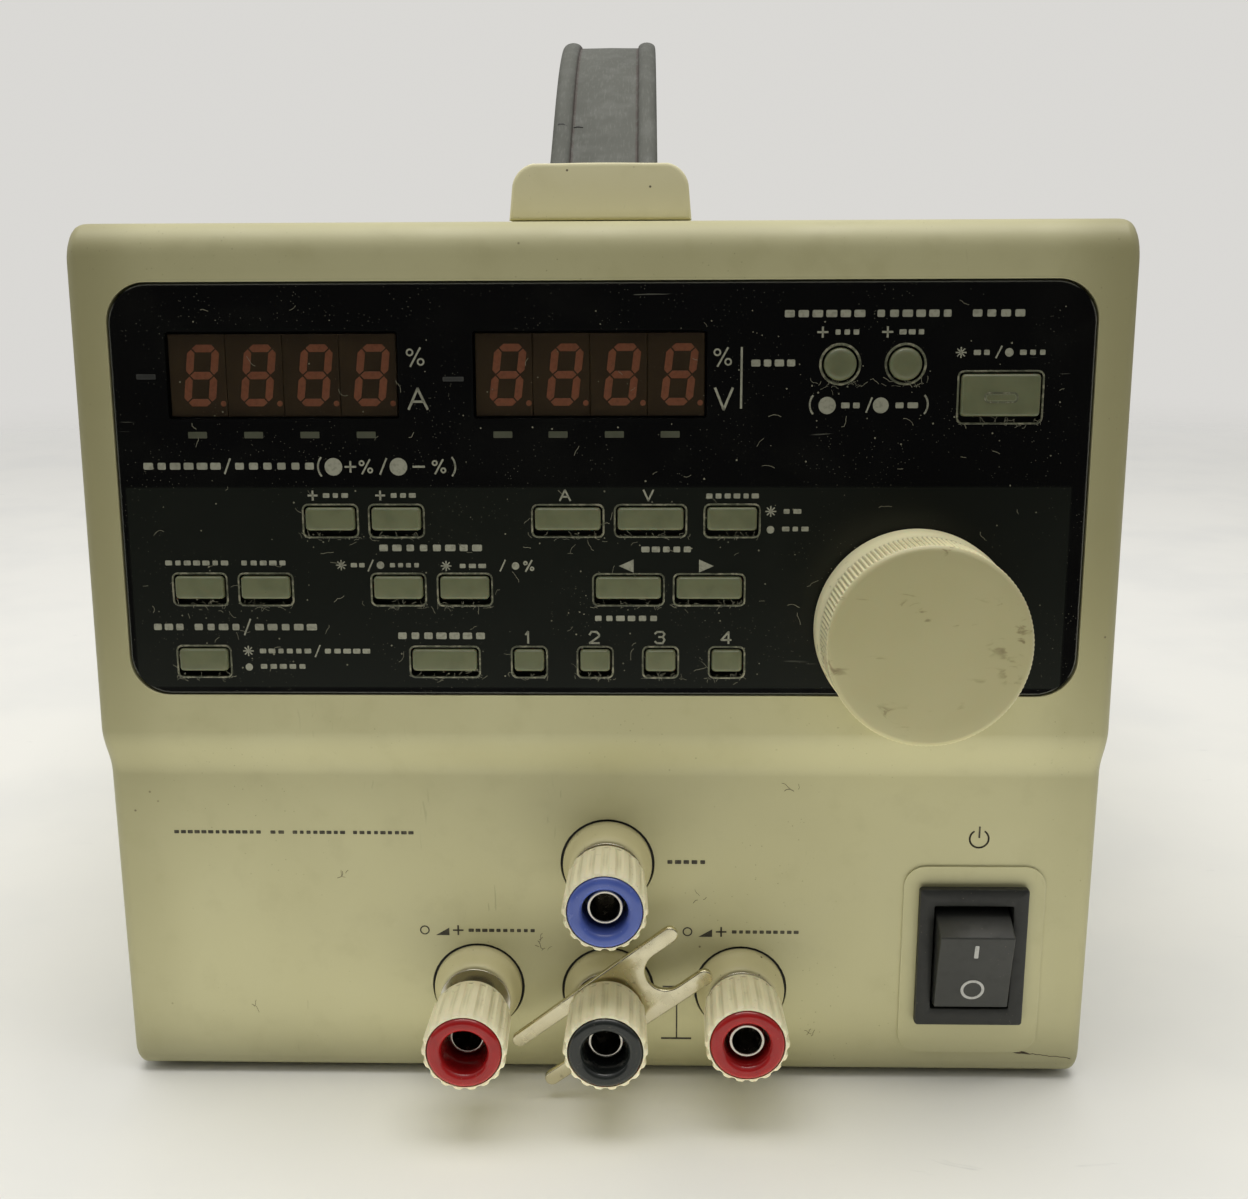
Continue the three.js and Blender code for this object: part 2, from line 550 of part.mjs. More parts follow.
function addPost({ name, x, z, open }) {
  const bore = STUD.radius + GAP;
  const behind = -BEZEL_WALL - GAP;
  const collar = ringProfile([
    [bore, COLLAR.out], [COLLAR.neck, COLLAR.out], ...COLLAR_FLANK, [COLLAR.radius, -GAP],
    [COLLAR.spigot, -GAP], [COLLAR.spigot, -COLLAR.behind], [bore, -COLLAR.behind],
  ]);
  addPiece(supply, `post_collar_${name}`, turned(collar, x, z, POST_SEGMENTS), postCream);

  const nutEnd = behind - STUD_NUT.thickness;
  const pinEnd = nutEnd - STUD_NUT.pinLength;
  const stud = [
    [0, STUD.boreEnd], [STUD.bore, STUD.boreEnd], [STUD.bore, STUD.out], [STUD.radius, STUD.out],
    [STUD.radius, SEAT.out], [SEAT.radius, SEAT.out], [SEAT.radius, SEAT.out - SEAT.thickness],
    [STUD.radius, SEAT.out - SEAT.thickness], [STUD.radius, behind], [STUD_NUT.radius, behind],
    [STUD_NUT.radius, nutEnd], [STUD_NUT.pin, nutEnd], [STUD_NUT.pin, pinEnd], [0, pinEnd],
  ];
  addPiece(supply, `post_stud_${name}`, turned(stud, x, z, 20), nickel);

  const base = CAP.base + open;
  const tip = base + CAP.length;
  const pocket = tip - CAP.pocket;
  const deep = tip - RING.depth;
  const [wide, narrow] = [RING.outer + RING_CLEARANCE, RING.sleeve + RING_CLEARANCE];
  const cap = ringProfile([
    [bore, base], [CAP.rear, base], [CAP.front, tip - 0.4], [CAP.front - 0.3, tip],
    [wide, tip], [wide, pocket], [narrow, pocket], [narrow, deep], [bore, deep],
  ]);
  addPiece(supply, `post_cap_${name}`, turned(cap, x, z, POST_SEGMENTS), postCream);

  const ring = ringProfile([
    [RING.inner, deep + GAP], [RING.sleeve, deep + GAP], [RING.sleeve, pocket + GAP],
    [RING.outer, pocket + GAP], [RING.outer, tip - 0.4], [RING.outer - 0.5, tip],
    [RING.inner + 0.4, tip], [RING.inner, tip - 0.5],
  ]);
  const colour = plastic(ringColours[name], 0.35);
  addPiece(supply, `post_ring_${name}`, turned(ring, x, z, POST_SEGMENTS), colour);
}

// A flat plate, slotted from both ends, that bridges two posts. One slot holds the black post.
function addShortingLink() {
  const half = LINK.width / 2;
  const holdHalf = LINK.holdWidth / 2;
  const prong = (half - LINK.mouth) / 2;
  const hold = STUD.radius + 0.35;
  const holdProng = (holdHalf - hold) / 2;
  const shape = new THREE.Shape();
  shape.moveTo(-LINK.left + holdProng, holdHalf);
  shape.absarc(-LINK.left + holdProng, holdHalf - holdProng, holdProng, Math.PI / 2, 1.5 * Math.PI);
  shape.absarc(0, 0, hold, Math.PI / 2, -Math.PI / 2, true);
  shape.absarc(-LINK.left + holdProng, holdProng - holdHalf, holdProng, Math.PI / 2, 1.5 * Math.PI);
  shape.absarc(LINK.right - prong, prong - half, prong, -Math.PI / 2, Math.PI / 2);
  shape.absarc(LINK.notch + LINK.mouth, 0, LINK.mouth, 1.5 * Math.PI, Math.PI / 2, true);
  shape.absarc(LINK.right - prong, half - prong, prong, -Math.PI / 2, Math.PI / 2);
  shape.closePath();
  const frame = new THREE.Group();
  const held = POSTS.find((post) => post.name === 'black');
  frame.position.set(held.x, 0, held.z);
  frame.rotation.y = -THREE.MathUtils.degToRad(LINK.angle);
  supply.add(frame);
  addPiece(frame, 'shorting_link', plate(shape, -LINK.out - LINK.thick, -LINK.out, 6), nickel);
}

// ---- Case ----
function addCover() {
  const half = CASE_WIDTH / 2;
  const front = BEZEL_DEPTH + GAP;
  const outer = roundedRect(0, CASE_HEIGHT / 2, CASE_WIDTH, CASE_HEIGHT, CORNER_RADIUS);
  const inside = grown([CASE_WIDTH, CASE_HEIGHT], -SHEET);
  const inner = roundedRect(0, CASE_HEIGHT / 2, ...inside, CORNER_RADIUS - SHEET);
  const tools = [
    plate(inner, 0, FAR, 3),
    box([-half + SHEET, 0, -FAR], [half - SHEET, FAR, COVER.skirt]),
    box([-FAR, 0, -FAR], [FAR, FAR, COVER.lip]),
  ];
  for (let row = 0; row < SIDE_SLOTS.rows; row += 1) {
    const z = SIDE_SLOTS.z + SIDE_SLOTS.pitch * row;
    for (const y of SIDE_SLOTS.columns) {
      tools.push(box([-FAR, y, z], [FAR, y + SIDE_SLOTS.length, z + SIDE_SLOTS.height]));
    }
  }
  addPiece(supply, 'top_cover', cutAll(plate(outer, front, CASE_DEPTH, 3), tools), caseBeige);
}

// ---- Tray and rear panel ----
const SIDE_X = CASE_WIDTH / 2 - SHEET - GAP;

function addTray() {
  const front = BEZEL_DEPTH + GAP;
  const back = CASE_DEPTH - SHEET - GAP;
  const tray = [
    box([-SIDE_X, front, 0], [SIDE_X, back, SHEET]),
    box([-SIDE_X, front, 0], [-SIDE_X + SHEET, back, TRAY_SIDE]),
    box([SIDE_X - SHEET, front, 0], [SIDE_X, back, TRAY_SIDE]),
    box([-SIDE_X, back - SHEET, 0], [SIDE_X, back, TRAY_BACK]),
  ];
  addPiece(supply, 'chassis_tray', joinAll(tray), steel);
}

function addRearPanel() {
  const bottom = SHEET;
  const top = CASE_HEIGHT - SHEET - GAP;
  const outline = roundedRect(0, (bottom + top) / 2, 2 * SIDE_X, top - bottom, 2);
  const tools = [plate(roundedRect(INLET.x, INLET.z, ...grown(INLET.body, GAP), 2), 0, FAR)];
  for (let i = 0; i < REAR_SLOTS.count; i += 1) {
    const x = REAR_SLOTS.x + REAR_SLOTS.pitch * i;
    const half = REAR_SLOTS.width / 2;
    tools.push(box([x - half, 0, REAR_SLOTS.low], [x + half, FAR, REAR_SLOTS.high]));
  }
  const sheet = plate(outline, CASE_DEPTH - SHEET, CASE_DEPTH, 3);
  addPiece(supply, 'rear_panel', cutAll(sheet, tools), steel);
}

function addFeet() {
  const chamfer = 0.6;
  const profile = [
    [0, -FOOT_BORE.end], [FOOT_BORE.radius, -FOOT_BORE.end], [FOOT_BORE.radius, -FOOT_HEIGHT],
    [FOOT_RADIUS - chamfer, -FOOT_HEIGHT], [FOOT_RADIUS, chamfer - FOOT_HEIGHT],
    [FOOT_RADIUS, -GAP], [0, -GAP],
  ];
  for (const [name, side, y] of FOOT_SPOTS) {
    const points = profile.map(([radius, z]) => new THREE.Vector2(radius, z));
    const lathe = new THREE.LatheGeometry(points, 20).rotateX(Math.PI / 2);
    const foot = lathe.translate(side * (CASE_WIDTH / 2 - FOOT_INSET), y, 0);
    addPiece(supply, `foot_${name}`, solid(foot), footBlack);
  }
}

// ---- Strap handle ----
const STRAP_START = HANDLE.front + STRAP_INSET;
const STRAP_BASE = CASE_HEIGHT + STRAP_RISE;

function strapSide() {
  const middle = HANDLE.front + HANDLE_SPAN / 2;
  const crest = HANDLE.apex - HANDLE.thick / 2;
  const curve = new THREE.CubicBezierCurve(
    new THREE.Vector2(STRAP_START, STRAP_BASE),
    new THREE.Vector2(STRAP_START + STRAP_PULL.start, STRAP_BASE),
    new THREE.Vector2(middle - STRAP_PULL.crest, crest), new THREE.Vector2(middle, crest));
  const steps = 20;
  const rise = Array.from({ length: steps + 1 }, (_, i) => {
    const t = i / steps;
    const normal = curve.getTangent(t).rotateAround(new THREE.Vector2(), Math.PI / 2);
    return [curve.getPoint(t), normal];
  });
  const offset = (side) => rise.map(([p, n]) => [p.x + side * n.x, p.y + side * n.y]);
  const mirror = (points) => points.slice(0, -1).reverse().map(([y, z]) => [2 * middle - y, z]);
  const top = offset(HANDLE.thick / 2);
  const under = offset(-HANDLE.thick / 2);
  return [...top, ...mirror(top), ...[...under, ...mirror(under)].reverse()];
}

function addHandle() {
  const half = HANDLE.strap / 2;
  addPiece(supply, 'handle_strap', sidePlate(strapSide(), -half, half), strapGrey);
  const middle = HANDLE.front + HANDLE_SPAN / 2;
  const bottom = CASE_HEIGHT + GAP;
  const top = CASE_HEIGHT + HANDLE.height;
  const outline = roundedRect(0, CASE_HEIGHT, HANDLE.width, 2 * HANDLE.height, HANDLE_CORNER);
  const room = half + GAP;
  const [low, high] = [STRAP_BASE - HANDLE.thick / 2 - GAP, STRAP_BASE + HANDLE.thick / 2 + GAP];
  for (const [name, mirrored] of [['handle_cap_front', false], ['handle_cap_rear', true]]) {
    const span = (from, to) => (mirrored ? [2 * middle - to, 2 * middle - from] : [from, to]);
    const cut = (zLow, zHigh, from, to) => {
      const [near, far] = span(from, to);
      return box([-room, near, zLow], [room, far, zHigh]);
    };
    const block = plate(outline, ...span(HANDLE.front, HANDLE.front + HANDLE.length), 6);
    const channel = cut(low, high, STRAP_START - 1, FAR);
    const mouth = cut(low, top + 5, STRAP_START + 1.5, FAR);
    const below = box([-FAR, -FAR, 0], [FAR, FAR, bottom]);
    addPiece(supply, name, cutAll(block, [below, channel, mouth]), caseBeige);
  }
}

// ---- Rear and internal pieces ----
function addInlet() {
  const y = CASE_DEPTH;
  const wall = 3;
  const flange = plate(roundedRect(INLET.x, INLET.z, ...INLET.flange, 5), y + GAP, y + wall, 3);
  const body = plate(roundedRect(INLET.x, INLET.z, ...INLET.body, 2), y - INLET.depth, y + 1, 2);
  const socket = plate(roundedRect(INLET.x, INLET.z, ...INLET.socket, 2), y - INLET.depth + wall, FAR, 2);
  const [halfWidth, halfHeight] = [BLADE.width / 2, BLADE.height / 2];
  const blades = INLET_BLADES.map(([dx, dz]) => {
    const [x, z] = [INLET.x + dx, INLET.z + dz];
    const low = [x - halfWidth, y - BLADE.back, z - halfHeight];
    return box(low, [x + halfWidth, y - BLADE.front, z + halfHeight]);
  });
  addPiece(supply, 'ac_inlet', joinAll([flange.add(body).subtract(socket), ...blades]), rockerBlack);
}

function addHeatSink() {
  const { width, low, height, depth, base, fins, fin } = SINK;
  const y = CASE_DEPTH + GAP;
  const pitch = (width - fin) / (fins - 1);
  const points = [[-width / 2, y], [-width / 2, y + depth]];
  for (let i = 0; i < fins; i += 1) {
    const left = -width / 2 + pitch * i;
    if (i > 0) points.push([left, y + base], [left, y + depth]);
    points.push([left + fin, y + depth]);
    if (i + 1 < fins) points.push([left + fin, y + base]);
  }
  points.push([width / 2, y]);
  const shape = new THREE.Shape(points.map(([x, depthY]) => new THREE.Vector2(x, depthY)));
  const geometry = new THREE.ExtrudeGeometry(shape, { depth: height, bevelEnabled: false });
  addPiece(supply, 'heat_sink', solid(geometry.translate(0, 0, low)), aluminium);
}

function addTransformer() {
  const { x, y, core, coil, bracket } = TRANSFORMER;
  const parts = [core, coil, bracket].map(([width, depth, height, lift]) => {
    const floor = SHEET + GAP + lift;
    return box([x - width / 2, y - depth / 2, floor], [x + width / 2, y + depth / 2, floor + height]);
  });
  addPiece(supply, 'transformer', joinAll(parts), steel);
}

function addRegulatorBoard() {
  const { left, right, front, back, lift } = REGULATOR;
  const floor = SHEET + lift;
  const parts = [box([left, front, floor], [right, back, floor + BOARD_THICKNESS])];
  for (const [xFrom, xTo, yFrom, yTo, height] of REGULATOR_BLOCKS) {
    parts.push(box([xFrom, yFrom, floor + 1], [xTo, yTo, floor + height]));
  }
  for (const [x, y, radius, height] of CAPACITORS) {
    parts.push(upright(x, y, radius, floor + 1, floor + height));
  }
  for (const [x, y] of PILLARS) {
    parts.push(upright(x, y, PILLAR_RADIUS, SHEET + GAP, floor + 1, 8));
  }
  addPiece(supply, 'regulator_board', joinAll(parts), boardGreen);
}

addBezel();
addFascia();
addLedModule('led_module_current', CURRENT_X);
addLedModule('led_module_voltage', VOLTAGE_X);
addControlBoard();
addKeys();
addKnob();
addRockerSwitch();
POSTS.forEach(addPost);
addShortingLink();
addCover();
addTray();
addRearPanel();
addFeet();
addHandle();
addInlet();
addHeatSink();
addTransformer();
addRegulatorBoard();

export default supply;
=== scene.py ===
"""Looks of a bench power supply: fine meshes, finishes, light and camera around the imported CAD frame.

Shapes on the front are drawn in millimetres as (x, up, out), on the lower face or on the upper face,
which leans back. Up is counted from the underside of the case, and out from the face.
"""
import json
import math
import random

import bmesh
import bpy
from mathutils import Matrix, Vector


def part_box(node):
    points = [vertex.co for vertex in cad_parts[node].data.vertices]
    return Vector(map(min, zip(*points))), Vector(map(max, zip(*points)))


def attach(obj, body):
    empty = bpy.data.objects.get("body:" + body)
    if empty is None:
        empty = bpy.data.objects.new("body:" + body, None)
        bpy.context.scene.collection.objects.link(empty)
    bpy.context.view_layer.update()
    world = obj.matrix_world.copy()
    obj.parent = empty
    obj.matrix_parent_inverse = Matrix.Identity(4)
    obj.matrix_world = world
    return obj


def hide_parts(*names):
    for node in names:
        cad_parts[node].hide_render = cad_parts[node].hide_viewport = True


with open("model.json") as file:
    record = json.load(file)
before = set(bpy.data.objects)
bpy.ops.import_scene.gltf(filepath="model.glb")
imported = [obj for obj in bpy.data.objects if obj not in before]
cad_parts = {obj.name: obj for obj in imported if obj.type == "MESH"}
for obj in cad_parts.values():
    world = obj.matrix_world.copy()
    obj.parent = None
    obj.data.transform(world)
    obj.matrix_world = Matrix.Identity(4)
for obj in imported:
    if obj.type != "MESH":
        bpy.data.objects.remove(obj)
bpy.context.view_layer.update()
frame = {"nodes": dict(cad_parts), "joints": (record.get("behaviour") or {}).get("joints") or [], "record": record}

MM = 0.001
X_AXIS = Vector((1, 0, 0))
Y_AXIS = Vector((0, 1, 0))
Z_AXIS = Vector((0, 0, 1))
FRAME_DEPTH = 16.3              # from the lower face back to the sheet cover
SHARP_ANGLE = 35                # edges over this many degrees are shaded sharp
POSTS = ("red_left", "black", "red_right", "blue")


# ---- Places taken from the frame ----
def joint(name):
    return next(j for j in frame["joints"] if j["name"] == name)


def face_matrix(origin, right, up, out):
    basis = Matrix((right, up, out)).transposed().to_4x4()
    return Matrix.Translation(origin) @ basis


CASE_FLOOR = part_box("chassis_tray")[0].z
FACE_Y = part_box("top_cover")[0].y - FRAME_DEPTH * MM
LOWER = face_matrix((0, FACE_Y, CASE_FLOOR), X_AXIS, Z_AXIS, -Y_AXIS)
KNOB_SPOT = Vector(joint("knob_spin")["pos_m"])
UPPER_OUT = Vector(joint("knob_spin")["axis"])
UPPER_UP = UPPER_OUT.cross(X_AXIS)
UPPER_FOOT = KNOB_SPOT - X_AXIS * KNOB_SPOT.x - UPPER_UP * (KNOB_SPOT.z - CASE_FLOOR)
UPPER = face_matrix(UPPER_FOOT, X_AXIS, UPPER_UP, UPPER_OUT)


def face_box(node, face):
    """Lowest and highest corner of a CAD node, in millimetres on a face."""
    back = face.inverted()
    points = [back @ v.co / MM for v in frame["nodes"][node].data.vertices]
    low = Vector([min(p[i] for p in points) for i in range(3)])
    high = Vector([max(p[i] for p in points) for i in range(3)])
    return low, high


def centre(low, high):
    return (low.x + high.x) / 2, (low.y + high.y) / 2


# ---- Outlines ----
def arc(cx, cy, radius, start, end, steps):
    angles = [math.radians(start + (end - start) * i / steps) for i in range(steps + 1)]
    return [(cx + radius * math.cos(a), cy + radius * math.sin(a)) for a in angles]


def rounded_rect(x, y, width, height, radius, steps=6):
    w, h = width / 2 - radius, height / 2 - radius
    corners = [(w, h, 0), (-w, h, 90), (-w, -h, 180), (w, -h, 270)]
    return [p for cx, cy, a in corners for p in arc(x + cx, y + cy, radius, a, a + 90, steps)]


def circle(x, y, radius, steps=32):
    return arc(x, y, radius, 0, 360, steps)[:-1]


def softened(corners, steps=4, closed=True):
    """A path through (a, b, radius) corners, each corner with a radius turned into a curve."""
    path = []
    count = len(corners)
    for i, (a, b, radius) in enumerate(corners):
        here = Vector((a, b))
        at_end = not closed and i in (0, count - 1)
        if radius <= 0 or at_end:
            path.append((a, b))
            continue
        before = Vector(corners[i - 1][:2]) - here
        after = Vector(corners[(i + 1) % count][:2]) - here
        start = here + before.normalized() * min(radius, before.length * 0.49)
        end = here + after.normalized() * min(radius, after.length * 0.49)
        for k in range(steps + 1):
            t = k / steps
            point = start * (1 - t) ** 2 + here * 2 * t * (1 - t) + end * t * t
            path.append((point.x, point.y))
    return path


def inset(outline, distance):
    """The outline moved inward along its corner normals. It runs anticlockwise."""
    moved = []
    count = len(outline)
    for i in range(count):
        here = Vector(outline[i])
        into = (here - Vector(outline[i - 1])).normalized()
        away = (Vector(outline[(i + 1) % count]) - here).normalized()
        normal = Vector((-into.y - away.y, into.x + away.x))
        normal.normalize()
        stretch = max(0.5, normal.dot(Vector((-into.y, into.x))))
        moved.append(tuple(here + normal * distance / stretch))
    return moved


def at(outline, out):
    return [(a, b, out) for a, b in outline]


# ---- Solids: each returns (points, faces) in millimetres ----
def loft(loops, ring=False):
    """Joins loops of equal length. A ring closes on itself; otherwise both ends are capped."""
    size = len(loops[0])
    points = [p for loop in loops for p in loop]
    faces = []
    spans = len(loops) if ring else len(loops) - 1
    for s in range(spans):
        a, b = s * size, (s + 1) % len(loops) * size
        for i in range(size):
            j = (i + 1) % size
            faces.append((a + i, a + j, b + j, b + i))
    if not ring:
        last = (len(loops) - 1) * size
        faces.append(tuple(reversed(range(size))))
        faces.append(tuple(range(last, last + size)))
    return points, faces


def slab(outline, low, high, edge, steps=3, edge_low=None):
    """A plate with the outline's shape, with rounded edges at the top and, if given, the bottom."""
    loops = []
    under = edge if edge_low is None else edge_low
    for i in range(steps + 1):
        a = math.pi / 2 * i / steps
        loops.append(at(inset(outline, under * (1 - math.sin(a))), low + under * (1 - math.cos(a))))
    for i in range(steps + 1):
        a = math.pi / 2 * i / steps
        loops.append(at(inset(outline, edge * (1 - math.cos(a))), high - edge * (1 - math.sin(a))))
    return loft(loops)


def turned(point, angle, x, y, ripple):
    """A (radius, out) point turned to an angle about (x, y). ripple adds to its radius."""
    radius, out = point
    r = radius + (ripple(angle, out, radius) if ripple else 0)
    return x + r * math.cos(angle), y + r * math.sin(angle), out


def lathe(profile, x, y, segments, ripple=None):
    """Turns a closed profile of (radius, out) points about an axis at (x, y) square to the face."""
    angles = [2 * math.pi * s / segments for s in range(segments)]
    return loft([[turned(point, a, x, y, ripple) for point in profile] for a in angles], ring=True)


def dome(profile, x, y, segments, ripple=None):
    """Turns an open profile whose two ends are capped by flat discs."""
    angles = [2 * math.pi * s / segments for s in range(segments)]
    return loft([[turned(point, a, x, y, ripple) for a in angles] for point in profile])


def joined(solids):
    points, faces = [], []
    for more_points, more_faces in solids:
        offset = len(points)
        points += more_points
        faces += [tuple(i + offset for i in face) for face in more_faces]
    return points, faces


def placed_mesh(name, solid, place, merge=False):
    """A mesh from a solid in millimetres, with its faces turned outward."""
    points, faces = solid
    mesh = bpy.data.meshes.new(name)
    mesh.from_pydata([place @ (Vector(p) * MM) for p in points], [], faces)
    bm = bmesh.new()
    bm.from_mesh(mesh)
    if merge:
        bmesh.ops.remove_doubles(bm, verts=bm.verts, dist=1e-7)
    bmesh.ops.recalc_face_normals(bm, faces=bm.faces)
    bm.to_mesh(mesh)
    bm.free()
    return mesh


def linked(name, data):
    made = bpy.data.objects.new(name, data)
    bpy.context.scene.collection.objects.link(made)
    return made


def piece(name, solid, place, material, body="root", stands_for=(), slot=None):
    """Makes a mesh object from a solid, rides it on a body and shades it smooth."""
    mesh = placed_mesh(name, solid, place, merge=True)
    mesh.shade_smooth()
    mesh.set_sharp_from_angle(angle=math.radians(SHARP_ANGLE))
    mesh.materials.append(material)
    made = linked(name, mesh)
    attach(made, body)
    if stands_for:
        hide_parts(*stands_for)
    return made


def carve(made, solids, place):
    """Cuts closed solids out of a piece."""
    cutters = []
    for i, solid in enumerate(solids):
        cutters.append(linked(f"cutter_{i}", placed_mesh(f"cutter_{i}", solid, place)))
    for cutter in cutters:
        cut = made.modifiers.new("cut", "BOOLEAN")
        cut.object = cutter
        cut.solver = "EXACT"
    graph = bpy.context.evaluated_depsgraph_get()
    result = bpy.data.meshes.new_from_object(made.evaluated_get(graph))
    made.modifiers.clear()
    made.data = result
    made.data.set_sharp_from_angle(angle=math.radians(30))
    for cutter in cutters:
        bpy.data.objects.remove(cutter)


def soften(node, width, segments):
    """Joins a CAD node's split corners, rounds its sharp edges and smooths its curved faces."""
    thing = frame["nodes"][node]
    weld = thing.modifiers.new("weld", "WELD")
    weld.merge_threshold = 1e-6
    flat = thing.modifiers.new("flat", "DECIMATE")
    flat.decimate_type = "DISSOLVE"
    flat.angle_limit = math.radians(0.5)
    bevel = thing.modifiers.new("bevel", "BEVEL")
    bevel.width = width * MM
    bevel.segments = segments
    bevel.limit_method = "ANGLE"
    bevel.angle_limit = math.radians(40)
    bevel.use_clamp_overlap = True
    smooth = thing.modifiers.new("smooth", "NODES")
    smooth.node_group = smooth_group()
    even = thing.modifiers.new("even", "WEIGHTED_NORMAL")
    even.keep_sharp = True


def add_node(tree, kind, inputs=None, **settings):
    """Adds a node. inputs maps a socket to a value or to the output that feeds it."""
    node = tree.nodes.new(kind)
    for key, value in settings.items():
        setattr(node, key, value)
    for key, value in (inputs or {}).items():
        if isinstance(value, bpy.types.NodeSocket):
            tree.links.new(value, node.inputs[key])
        else:
            node.inputs[key].default_value = value
    return node


def smooth_group():
    """A node group that shades faces smooth and keeps sharp edges sharp."""
    name = "smooth_by_angle"
    if name in bpy.data.node_groups:
        return bpy.data.node_groups[name]
    group = bpy.data.node_groups.new(name, "GeometryNodeTree")
    group.interface.new_socket("Geometry", in_out="INPUT", socket_type="NodeSocketGeometry")
    group.interface.new_socket("Geometry", in_out="OUTPUT", socket_type="NodeSocketGeometry")
    source = add_node(group, "NodeGroupInput")
    angle = add_node(group, "GeometryNodeInputMeshEdgeAngle").outputs["Unsigned Angle"]
    below = add_node(group, "FunctionNodeCompare", {"A": angle, "B": math.radians(SHARP_ANGLE)},
                     data_type="FLOAT", operation="LESS_EQUAL")
    faces = add_node(group, "GeometryNodeSetShadeSmooth", {"Geometry": source.outputs[0]}, domain="FACE")
    edges = add_node(group, "GeometryNodeSetShadeSmooth", {
        "Geometry": faces.outputs[0], "Shade Smooth": below.outputs["Result"]}, domain="EDGE")
    add_node(group, "NodeGroupOutput", {0: edges.outputs[0]})
    return group


def dress(nodes, material):
    for node in nodes:
        mesh = frame["nodes"][node].data
        mesh.materials.clear()
        mesh.materials.append(material)


# ---- Finishes ----
def linear(red, green, blue):
    """A display colour, 0 to 255, as linear light."""
    def channel(value):
        c = value / 255
        return c / 12.92 if c <= 0.04045 else ((c + 0.055) / 1.055) ** 2.4
    return (channel(red), channel(green), channel(blue), 1)


class Finish:
    """Builds one node material. Texture coordinates are millimetres in the object's frame."""

    def __init__(self, name, colour, roughness, metallic=0.0, **inputs):
        self.material = bpy.data.materials.new(name)
        self.material.use_nodes = True
        self.tree = self.material.node_tree
        self.shader = self.tree.nodes["Principled BSDF"]
        self.shader.inputs["Metallic"].default_value = metallic
        for key, value in inputs.items():
            self.shader.inputs[key.replace("_", " ")].default_value = value
        place = add_node(self.tree, "ShaderNodeTexCoord")
        self.mm = self.scaled(place.outputs["Object"], (1 / MM,) * 3)
        self.colour = self.constant("ShaderNodeRGB", colour)
        self.roughness = self.constant("ShaderNodeValue", roughness)
        self.normal = None

    def constant(self, kind, value):
        node = add_node(self.tree, kind)
        node.outputs[0].default_value = value
        return node.outputs[0]

    def scaled(self, vector, scale):
        return add_node(
            self.tree, "ShaderNodeVectorMath", {0: vector, 1: scale}, operation="MULTIPLY").outputs[0]

    def stretched(self, stretch):
        return self.mm if stretch == (1, 1, 1) else self.scaled(self.mm, stretch)

    def noise(self, size, detail=3, stretch=(1, 1, 1), distortion=0.0):
        """Smooth noise, from 0 to 1, with features about size mm across."""
        return add_node(self.tree, "ShaderNodeTexNoise", {
            "Scale": 1 / size, "Detail": detail, "Distortion": distortion,
            "Vector": self.stretched(stretch)}).outputs["Fac"]

    def cells(self, size):
        """Distance from the nearest of scattered points, in cell widths."""
        return add_node(self.tree, "ShaderNodeTexVoronoi", {
            "Scale": 1 / size, "Vector": self.mm}).outputs["Distance"]

    def math(self, operation, a, b=None):
        values = {0: a} if b is None else {0: a, 1: b}
        return add_node(self.tree, "ShaderNodeMath", values, operation=operation).outputs[0]

    def both(self, a, b):
        """A mask where two masks overlap."""
        return self.math("MULTIPLY", a, b)

    def fade(self, source, start, end):
        """0 up to start, 1 from end on, smooth between. End may be the smaller one."""
        rising = start < end
        return add_node(self.tree, "ShaderNodeMapRange", {
            "Value": source, "From Min": min(start, end), "From Max": max(start, end),
            "To Min": 0 if rising else 1, "To Max": 1 if rising else 0},
            interpolation_type="SMOOTHSTEP").outputs[0]

    def patches(self, size, start, end, detail=3, stretch=(1, 1, 1), distortion=0.0):
        """A mask of soft patches about size mm across."""
        return self.fade(self.noise(size, detail, stretch, distortion), start, end)

    def speckle(self, size, share, spread):
        """Specks about size mm across, with a soft mask that thins them out in patches."""
        return self.both(self.fade(self.cells(size), share, share * 0.4), self.patches(spread, 0.5, 0.68, 2))

    def hollow(self, low=0.5, high=0.44):
        """1 in concave creases of a dense mesh, by the mesh's own curvature."""
        return self.fade(add_node(self.tree, "ShaderNodeNewGeometry").outputs["Pointiness"], low, high)

    def edge(self, radius=0.35, samples=4):
        """1 along sharp edges, found by comparing the true normal with a rounded one."""
        rounded = add_node(self.tree, "ShaderNodeBevel", {"Radius": radius * MM}, samples=samples)
        true = add_node(self.tree, "ShaderNodeNewGeometry")
        match = add_node(self.tree, "ShaderNodeVectorMath", {
            0: rounded.outputs[0], 1: true.outputs["Normal"]}, operation="DOT_PRODUCT")
        return self.fade(match.outputs["Value"], 0.99, 0.9)

    def crease(self, distance, samples=4):
        """1 where nearby surfaces close in on a point within the distance in mm."""
        near = add_node(
            self.tree, "ShaderNodeAmbientOcclusion", {"Distance": distance * MM}, samples=samples)
        return self.fade(near.outputs["AO"], 0.75, 0.25)

    def out_of(self, face):
        """Distance in mm in front of a face."""
        normal = face.col[2].to_3d()
        ahead = add_node(self.tree, "ShaderNodeVectorMath", {0: self.mm, 1: normal}, operation="DOT_PRODUCT")
        return self.math("SUBTRACT", ahead.outputs["Value"], face.translation.dot(normal) / MM)

    def along(self, axis):
        """A coordinate in mm: 0 is x, 1 is y and 2 is z."""
        return add_node(self.tree, "ShaderNodeSeparateXYZ", {0: self.mm}).outputs[axis]

    def paint(self, mask, colour, strength=1.0):
        mixed = add_node(self.tree, "ShaderNodeMix", {
            "Factor": self.both(mask, strength), "A": self.colour, "B": colour}, data_type="RGBA")
        self.colour = mixed.outputs["Result"]

    def rough(self, mask, value, strength=1.0):
        mixed = add_node(self.tree, "ShaderNodeMix", {
            "Factor": self.both(mask, strength), "A": self.roughness, "B": value})
        self.roughness = mixed.outputs["Result"]

